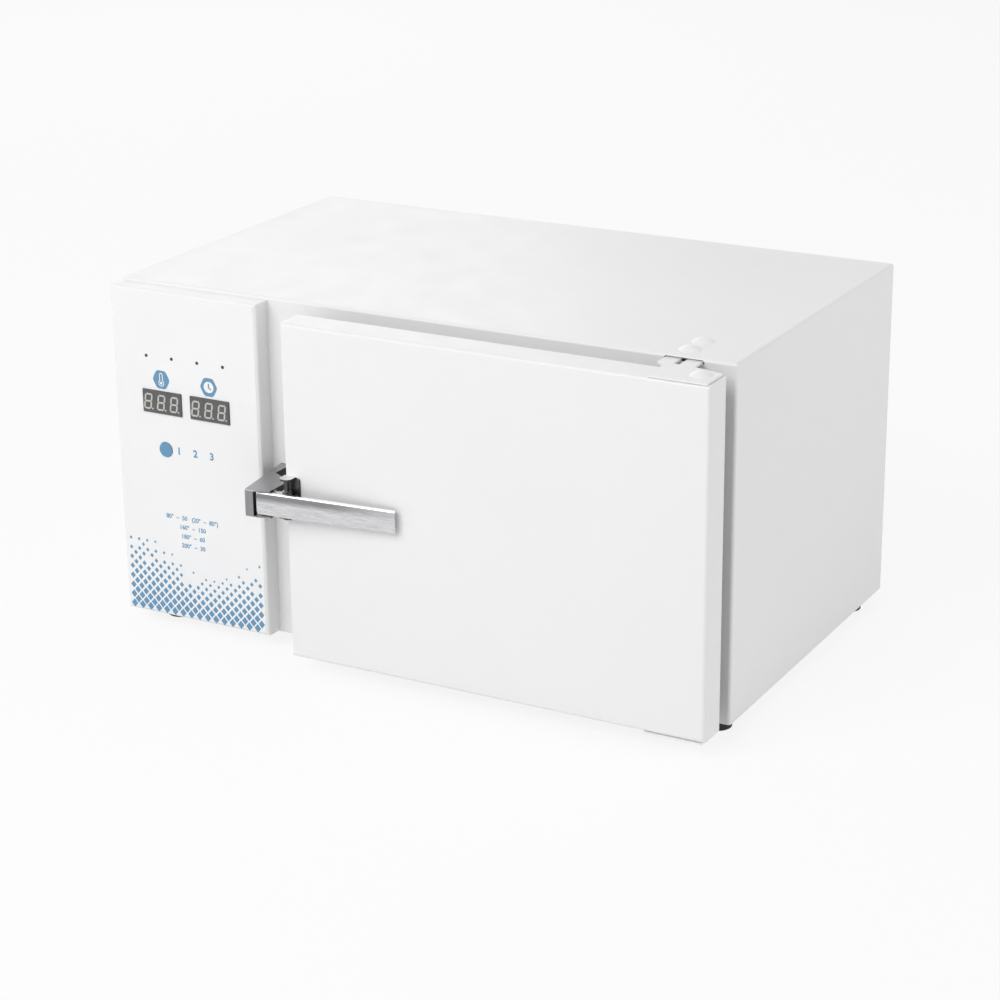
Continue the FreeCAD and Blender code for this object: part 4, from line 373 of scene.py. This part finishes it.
# The maker of each material slot, with what it takes after the name
MATERIALS = {
    "white_enamel": (powder_coat,),
    "overlay_film": (printed_film,),
    "cap_plastic": (moulded, FILM, 0.3, 0.4),
    "zinc_sheet": (galvanised, linear(186, 190, 194)),
    "stainless_liner": (satin_sheet, linear(190, 191, 193), 0.28, 0.42),
    # The keeper gets painted light: a lighter top, a darker front and a painted dark reflection on
    # faces that look sideways
    "stainless_keeper": (steel_with_painted_light, UPRIGHT_GRAIN, linear(176, 176, 178),
                         linear(150, 150, 152), linear(62, 62, 64)),
    "stainless_handle": (lever_steel,),
    "steel_pin": (brushed, (60.0, 60.0, 900.0), 0.2, 0.32),
    "fastener_steel": (galvanised, linear(190, 192, 196)),
    "aluminium_heater": (satin_sheet, linear(214, 216, 219), 0.32, 0.5),
    "mineral_wool": (mineral_wool,),
    "probe_steel": (brushed, (40.0, 900.0, 900.0), 0.14, 0.24),
    "cutout_body": (moulded, linear(52, 42, 38), 0.4, 0.55),
    "display_lens": (display_window,),
    "led_lens": (moulded, linear(58, 60, 63), 0.12, 0.2, 900.0, 0.02),
    "circuit_board": (circuit_board,),
    "nylon_post": (moulded, linear(236, 234, 222), 0.38, 0.5),
    "switch_body": (moulded, BLACK_PLASTIC, 0.38, 0.5),
    "button_plastic": (moulded, PRINT_BLUE, 0.3, 0.4),
    "transformer_iron": (moulded, linear(70, 66, 62), 0.45, 0.65, 500.0, 0.3),
    "terminal_plastic": (moulded, linear(232, 230, 216), 0.4, 0.5),
    "inlet_plastic": (moulded, BLACK_PLASTIC, 0.3, 0.45),
    "rocker_plastic": (moulded, linear(32, 32, 33), 0.2, 0.32),
    "gasket_silicone": (rubber, linear(202, 201, 198), 0.03),
    "foot_rubber": (rubber, linear(34, 34, 36), 0.2),
    "bush_bronze": (galvanised, linear(186, 150, 98)),
}

# Steel pieces in the shade of the lever, which get painted shade: a light top over dark front and
# side faces
PAINTED_SHADE_NODES = ("latch_base", "latch_pin", "latch_ring")


def dress_nodes():
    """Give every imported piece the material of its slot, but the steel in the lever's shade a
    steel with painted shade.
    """
    made = {name: maker(name, *details) for name, (maker, *details) in MATERIALS.items()}
    # Painted shade: a light top (236) over dark front (92) and side (56) faces for the latch base,
    # pin and ring
    painted_shade_steel = steel_with_painted_light("base_steel_painted_shade", UPRIGHT_GRAIN, linear(236, 236, 236),
                         linear(92, 90, 90), linear(56, 56, 57), 0.22)
    for entry in frame["record"]["subparts"]:
        material = painted_shade_steel if entry["node"] in PAINTED_SHADE_NODES else made[entry["material_slot"]]
        slots = frame["nodes"][entry["node"]].data.materials
        slots.clear()
        slots.append(material)


# Flat printed shapes on an upright face that looks towards -Y

PRINT_HEIGHT = 0.04 * MM
PRINT_SINK = 0.01 * MM


def add_print(name, data, material):
    """Put a print's mesh on the cabinet."""
    data.materials.clear()
    data.materials.append(material)
    piece = bpy.data.objects.new(name, data)
    bpy.context.scene.collection.objects.link(piece)
    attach(piece, "cabinet")


def print_piece(name, outlines, material, layer=1, face=PRINT_FACE):
    """A thin raised print from outlines of (x, z) points; higher layers stand over lower ones."""
    mesh = bmesh.new()
    for outline in outlines:
        back, front = ([mesh.verts.new((x, y, z)) for x, z in outline]
                       for y in (face + PRINT_SINK, face - layer * PRINT_HEIGHT))
        count = len(outline)
        mesh.faces.new(front)
        mesh.faces.new(list(reversed(back)))
        for index in range(count):
            following = (index + 1) % count
            mesh.faces.new((back[index], back[following], front[following], front[index]))
    bmesh.ops.recalc_face_normals(mesh, faces=mesh.faces)
    data = bpy.data.meshes.new(name)
    mesh.to_mesh(data)
    mesh.free()
    add_print(name, data, material)


def polygon(centre, radius, sides, turn=0.0, squeeze=1.0):
    """Corners of a regular outline."""
    x, z = centre
    return [(x + radius * math.cos(turn + math.tau * k / sides),
             z + squeeze * radius * math.sin(turn + math.tau * k / sides)) for k in range(sides)]


def rounded(outline, radius, steps=5):
    """An outline with its corners rounded by curves."""
    result = []
    count = len(outline)
    for index in range(count):
        corner = Vector(outline[index])
        before = Vector(outline[index - 1]) - corner
        after = Vector(outline[(index + 1) % count]) - corner
        reach = min(radius, before.length / 2, after.length / 2)
        start = corner + before.normalized() * reach
        end = corner + after.normalized() * reach
        for step in range(steps + 1):
            share = step / steps
            point = start.lerp(corner, share).lerp(corner.lerp(end, share), share)
            result.append((point.x, point.y))
    return result


def bar(start, end, width):
    """Outline of a straight stroke."""
    start, end = Vector(start), Vector(end)
    side = (end - start).normalized() * (width / 2)
    side = Vector((-side.y, side.x))
    return [tuple(start + side), tuple(start - side), tuple(end - side), tuple(end + side)]


# Displays

DIGIT_HEIGHT = 13.6 * MM
DIGIT_WIDTH = 7.6 * MM
DIGIT_PITCH = 12.66 * MM
DIGIT_STROKE = 1.45 * MM
DIGIT_SLANT = math.tan(math.radians(8.0))
DIGIT_GAP = 0.14 * MM
DIGIT_COUNT = 3
POINT_OFFSET = DIGIT_STROKE * 1.3
POINT_RADIUS = DIGIT_STROKE * 0.55
POINT_SIDES = 16


def segment(start, end):
    """A six-cornered stroke between two corners of a digit."""
    start, end = Vector(start), Vector(end)
    along = (end - start).normalized()
    across = Vector((-along.y, along.x)) * (DIGIT_STROKE / 2)
    inset = along * (DIGIT_STROKE / 2)
    start = start + along * DIGIT_GAP
    end = end - along * DIGIT_GAP
    return [start, start + inset + across, end - inset + across, end, end - inset - across,
            start + inset - across]


def digit(centre):
    """The outlines of an unlit eight with its point."""
    x, z = centre
    half_width = (DIGIT_WIDTH - DIGIT_STROKE) / 2
    half_height = (DIGIT_HEIGHT - DIGIT_STROKE) / 2
    left, right = -half_width, half_width
    low, high = -half_height, half_height
    strokes = [((left, level), (right, level)) for level in (high, 0.0, low)]
    strokes += [((side, start), (side, start + half_height))
                for side in (left, right) for start in (low, 0.0)]
    outlines = [segment(*stroke) for stroke in strokes]
    outlines.append(polygon((right + POINT_OFFSET, low), POINT_RADIUS, POINT_SIDES))
    return [[(x + u + v * DIGIT_SLANT, z + v) for u, v in outline] for outline in outlines]


def display_digits(node, name, material):
    """Three unlit digits on a display's window."""
    low, high = corners(node)
    middle = (low + high) / 2
    outlines = []
    for index in range(DIGIT_COUNT):
        x = middle.x + (index - (DIGIT_COUNT - 1) / 2) * DIGIT_PITCH - DIGIT_STROKE * 0.5
        outlines += digit((x, middle.z))
    print_piece(name, outlines, material, face=low.y)


# Icons over the displays

ICON_RADIUS = 8.5 * MM
ICON_CORNER = 2.2 * MM
ICON_SQUEEZE = 1.05
ICON_RISE = 9.9 * MM
ICON_SHIFT = 0.3 * MM
DISC_RADIUS = 4.7 * MM
DISC_SIDES = 48
HAND_WIDTH = 1.1 * MM
BULB_SIDES = 24
KEYHOLE_STEPS = 28
KEYHOLE_CAP_STEPS = 12


def icon_centre(node):
    """The middle of the icon above a display."""
    low, high = corners(node)
    return ((low.x + high.x) / 2 - ICON_SHIFT, high.z + ICON_RISE)


def hexagon(name, centre, material):
    """The icon's ground: a hexagon with soft corners."""
    outline = rounded(polygon(centre, ICON_RADIUS, 6, 0.0, ICON_SQUEEZE), ICON_CORNER)
    print_piece(name, [outline], material)


def clock_icon(ink, white, grey):
    """Hexagon with a white disc and two hands."""
    centre = icon_centre("time_display")
    x, z = centre
    hexagon("time_icon", centre, ink)
    print_piece("time_icon_disc", [polygon(centre, DISC_RADIUS, DISC_SIDES)], white, layer=2)
    hands = [bar((x, z - 0.5 * MM), (x, z + 3.2 * MM), HAND_WIDTH),
             bar((x - 0.3 * MM, z + 0.2 * MM), (x + 2.1 * MM, z - 2.0 * MM), HAND_WIDTH)]
    print_piece("time_icon_hands", hands, grey, layer=3)


def arc(centre, radius, first, sweep, steps):
    """Points of an arc, both ends included."""
    x, z = centre
    angles = (first + sweep * k / steps for k in range(steps + 1))
    return [(x + radius * math.cos(angle), z + radius * math.sin(angle)) for angle in angles]


def keyhole(x, top, half, bulb, radius):
    """Outline of a round-topped tube on a bulb."""
    lean = math.asin(half / radius)
    around = arc((x, bulb), radius, math.pi / 2 + lean, math.tau - 2 * lean, KEYHOLE_STEPS)
    return around + arc((x, top - half), half, 0.0, math.pi, KEYHOLE_CAP_STEPS)


def thermometer_icon(ink, white):
    """Hexagon with a thermometer: white glass round a blue column."""
    centre = icon_centre("temperature_display")
    x, z = centre
    hexagon("temperature_icon", centre, ink)
    bulb = z - 2.9 * MM
    glass = keyhole(x, z + 5.7 * MM, 1.75 * MM, bulb, 2.8 * MM)
    print_piece("temperature_icon_glass", [glass], white, layer=2)
    room = keyhole(x, z + 4.9 * MM, 1.0 * MM, bulb, 2.05 * MM)
    print_piece("temperature_icon_room", [room], ink, layer=3)
    print_piece("temperature_icon_bulb", [polygon((x, bulb), 1.2 * MM, BULB_SIDES)], white, layer=4)


# Numerals

GLYPH_STEPS = 6
GLYPH_SIZE = 1.37

KEY_TEXT = "1     2     3"
KEY_PLACE = (28.8 * MM, 0.2 * MM)
KEY_HEIGHT = 6.2 * MM
KEY_WEIGHT = 0.28 * MM

PROGRAM_LINES = ["80°  –  50   (20°  –  80°)", "160°  –  150", "180°  –  60", "200°  –  30"]
LINE_PITCH = 8.0 * MM
LINE_TOP = 101.0 * MM
LINE_SHIFT = -0.5 * MM
LINE_HEIGHT = 3.8 * MM
LINE_WEIGHT = 0.16 * MM


def numerals(name, text, centre, height, weight, material):
    """A line of plain numbers, centred on an (x, z) place; the weight thickens its strokes."""
    curve = bpy.data.curves.new(name, "FONT")
    curve.body = text
    curve.align_x = "CENTER"
    curve.align_y = "CENTER"
    curve.size = height * GLYPH_SIZE
    curve.offset = weight
    curve.resolution_u = GLYPH_STEPS
    curve.extrude = PRINT_HEIGHT / 2
    holder = bpy.data.objects.new(name + "_text", curve)
    bpy.context.scene.collection.objects.link(holder)
    depsgraph = bpy.context.evaluated_depsgraph_get()
    data = bpy.data.meshes.new_from_object(holder.evaluated_get(depsgraph))
    bpy.data.objects.remove(holder)
    depth = PRINT_FACE - PRINT_HEIGHT / 2 + PRINT_SINK
    data.transform(Matrix.Translation((centre[0], depth, centre[1]))
                   @ Matrix.Rotation(math.radians(90), 4, "X"))
    data.name = name
    add_print(name, data, material)


def program_numbers(ink):
    """Generic numbers beside the key and in four lines below it."""
    low, high = corners("program_button")
    middle = (low + high) / 2
    place = (middle.x + KEY_PLACE[0], middle.z + KEY_PLACE[1])
    numerals("key_numbers", KEY_TEXT, place, KEY_HEIGHT, KEY_WEIGHT, ink)
    for index, text in enumerate(PROGRAM_LINES):
        place = (PANEL_MIDDLE + LINE_SHIFT, LINE_TOP - index * LINE_PITCH)
        numerals(f"program_line_{index + 1}", text, place, LINE_HEIGHT, LINE_WEIGHT, ink)


# Pattern at the foot of the panel

DOT_PITCH = 8.4 * MM
DOT_LARGE = 3.3 * MM
DOT_SMALL = 0.9 * MM
DOT_SQUEEZE = 1.15
PATTERN_MARGIN = 2.6 * MM
PATTERN_LEVEL = 55.0 * MM
PATTERN_SWING = 17.0 * MM
PATTERN_SEED = 7


def pattern_height(share):
    """How high the dots reach at a share of the panel's width."""
    return PATTERN_LEVEL + PATTERN_SWING * math.sin(math.tau * (share * 0.9 + 0.2))


def dot_pattern(ink):
    """Staggered rows of diamonds that fade upward in a wave."""
    generator = random.Random(PATTERN_SEED)
    width = OVERLAY_HIGH.x - OVERLAY_LOW.x
    columns = int(width / DOT_PITCH)
    rise = DOT_PITCH * 0.5
    outlines = []
    row = 0
    while row * rise < PATTERN_LEVEL + PATTERN_SWING:
        for column in range(columns):
            x = OVERLAY_LOW.x + (column + 0.5 + 0.5 * (row % 2)) * width / (columns + 0.5)
            z = OVERLAY_LOW.z + PATTERN_MARGIN + row * rise
            reach = pattern_height((x - OVERLAY_LOW.x) / width)
            fade = 1 - (z - OVERLAY_LOW.z) / reach
            if fade <= 0 or generator.random() > 0.35 + 1.6 * fade:
                continue
            radius = DOT_SMALL + (DOT_LARGE - DOT_SMALL) * fade ** 0.8
            outlines.append(polygon((x, z), radius, 4, 0.0, DOT_SQUEEZE))
        row += 1
    print_piece("panel_pattern", outlines, ink)


# Camera, light and floor

def camera():
    """The photograph's view."""
    across = math.cos(CAMERA_ELEVATION)
    forward = Vector((-math.sin(CAMERA_AZIMUTH) * across, math.cos(CAMERA_AZIMUTH) * across,
                      -math.sin(CAMERA_ELEVATION)))
    level = forward.cross(Vector((0, 0, 1))).normalized()
    upright = level.cross(forward)
    right = math.cos(CAMERA_ROLL) * level + math.sin(CAMERA_ROLL) * upright
    up = -math.sin(CAMERA_ROLL) * level + math.cos(CAMERA_ROLL) * upright
    data = bpy.data.cameras.new("camera")
    data.sensor_width = SENSOR_WIDTH
    data.lens = FOCAL_SHARE * SENSOR_WIDTH
    data.clip_start, data.clip_end = CLIP_RANGE
    eye = bpy.data.objects.new("camera", data)
    turn = Matrix((right, up, -forward)).transposed()
    eye.matrix_world = Matrix.Translation(CAMERA_PLACE) @ turn.to_4x4()
    bpy.context.scene.collection.objects.link(eye)
    bpy.context.scene.camera = eye


WORLD_STRENGTH = 0.5
BACKGROUND_STRENGTH = 0.956


def seen_directly(nodes, links):
    """1 for rays that show the background: from the camera, off gloss or through glass."""
    path = nodes.new("ShaderNodeLightPath")
    total = path.outputs["Is Camera Ray"]
    for name in ("Is Glossy Ray", "Is Transmission Ray"):
        both = nodes.new("ShaderNodeMath")
        both.operation = "MAXIMUM"
        links.new(total, both.inputs[0])
        links.new(path.outputs[name], both.inputs[1])
        total = both.outputs["Value"]
    return total


def surroundings():
    """Soft even light, seen as a white backdrop."""
    world = bpy.data.worlds.new("surroundings")
    bpy.context.scene.world = world
    world.use_nodes = True
    nodes, links = world.node_tree.nodes, world.node_tree.links
    glow = nodes["Background"]
    glow.inputs["Color"].default_value = WHITE
    glow.inputs["Strength"].default_value = WORLD_STRENGTH
    white = nodes.new("ShaderNodeBackground")
    white.inputs["Color"].default_value = WHITE
    white.inputs["Strength"].default_value = BACKGROUND_STRENGTH
    mix = nodes.new("ShaderNodeMixShader")
    links.new(seen_directly(nodes, links), mix.inputs["Fac"])
    links.new(glow.outputs["Background"], mix.inputs[1])
    links.new(white.outputs["Background"], mix.inputs[2])
    links.new(mix.outputs["Shader"], nodes["World Output"].inputs["Surface"])


LAMP_TARGET = Vector((0.0, 0.0, 0.15))

# A large key from above the front and fills from behind: place, size and power in watts
LAMPS = {
    "key_lamp": ((-0.9, -2.4, 2.2), (2.4, 1.8), 52.0),
    "right_lamp": ((2.9, 0.9, 1.3), (1.8, 1.6), 18.0),
    "rear_lamp": ((-2.2, 2.4, 1.6), (2.0, 1.8), 12.0),
}


def lamps():
    """Soft boxes that look at the object."""
    for name, (place, size, power) in LAMPS.items():
        data = bpy.data.lights.new(name, "AREA")
        data.shape = "RECTANGLE"
        data.size, data.size_y = size
        data.energy = power
        source = bpy.data.objects.new(name, data)
        place = Vector(place)
        turn = (LAMP_TARGET - place).to_track_quat("-Z", "Y").to_matrix().to_4x4()
        source.matrix_world = Matrix.Translation(place) @ turn
        bpy.context.scene.collection.objects.link(source)


FLOOR_HALF = 30.0
FLOOR_DIP = 0.05 * MM
FLOOR_COLOUR = (0.93, 0.93, 0.93, 1.0)
FLOOR_ROUGHNESS = 0.9
FLOOR_GLOW = 0.998
FLOOR_GLOW_SHARE = 0.85


def floor():
    """Pale floor that keeps a soft shadow."""
    data = bpy.data.meshes.new("floor")
    rim = [(-FLOOR_HALF, -FLOOR_HALF), (FLOOR_HALF, -FLOOR_HALF), (FLOOR_HALF, FLOOR_HALF),
           (-FLOOR_HALF, FLOOR_HALF)]
    data.from_pydata([(x, y, -FLOOR_DIP) for x, y in rim], [], [(0, 1, 2, 3)])
    material = bpy.data.materials.new("floor")
    material.use_nodes = True
    nodes, links = material.node_tree.nodes, material.node_tree.links
    shader = nodes["Principled BSDF"]
    shader.inputs["Base Color"].default_value = FLOOR_COLOUR
    shader.inputs["Roughness"].default_value = FLOOR_ROUGHNESS
    shader.inputs["Specular IOR Level"].default_value = 0.0
    glow = nodes.new("ShaderNodeEmission")
    glow.inputs["Strength"].default_value = FLOOR_GLOW
    share = nodes.new("ShaderNodeMath")
    share.operation = "MULTIPLY"
    share.inputs[1].default_value = FLOOR_GLOW_SHARE
    links.new(seen_directly(nodes, links), share.inputs[0])
    mix = nodes.new("ShaderNodeMixShader")
    links.new(share.outputs["Value"], mix.inputs["Fac"])
    links.new(shader.outputs["BSDF"], mix.inputs[1])
    links.new(glow.outputs["Emission"], mix.inputs[2])
    links.new(mix.outputs["Shader"], nodes["Material Output"].inputs["Surface"])
    data.materials.append(material)
    plane = bpy.data.objects.new("floor", data)
    bpy.context.scene.collection.objects.link(plane)


def prints():
    """Everything printed on the control panel."""
    ink = print_ink("print_blue", PRINT_BLUE)
    white = print_ink("print_white", linear(244, 246, 248))
    grey = print_ink("print_grey", linear(120, 138, 152))
    segments = print_ink("segment_grey", linear(196, 194, 188))
    display_digits("temperature_display", "temperature_digits", segments)
    display_digits("time_display", "time_digits", segments)
    thermometer_icon(ink, white)
    clock_icon(ink, white, grey)
    program_numbers(ink)
    dot_pattern(ink)


dress_nodes()
prints()
camera()
surroundings()
lamps()
floor()
bpy.context.scene.view_settings.view_transform = "Standard"
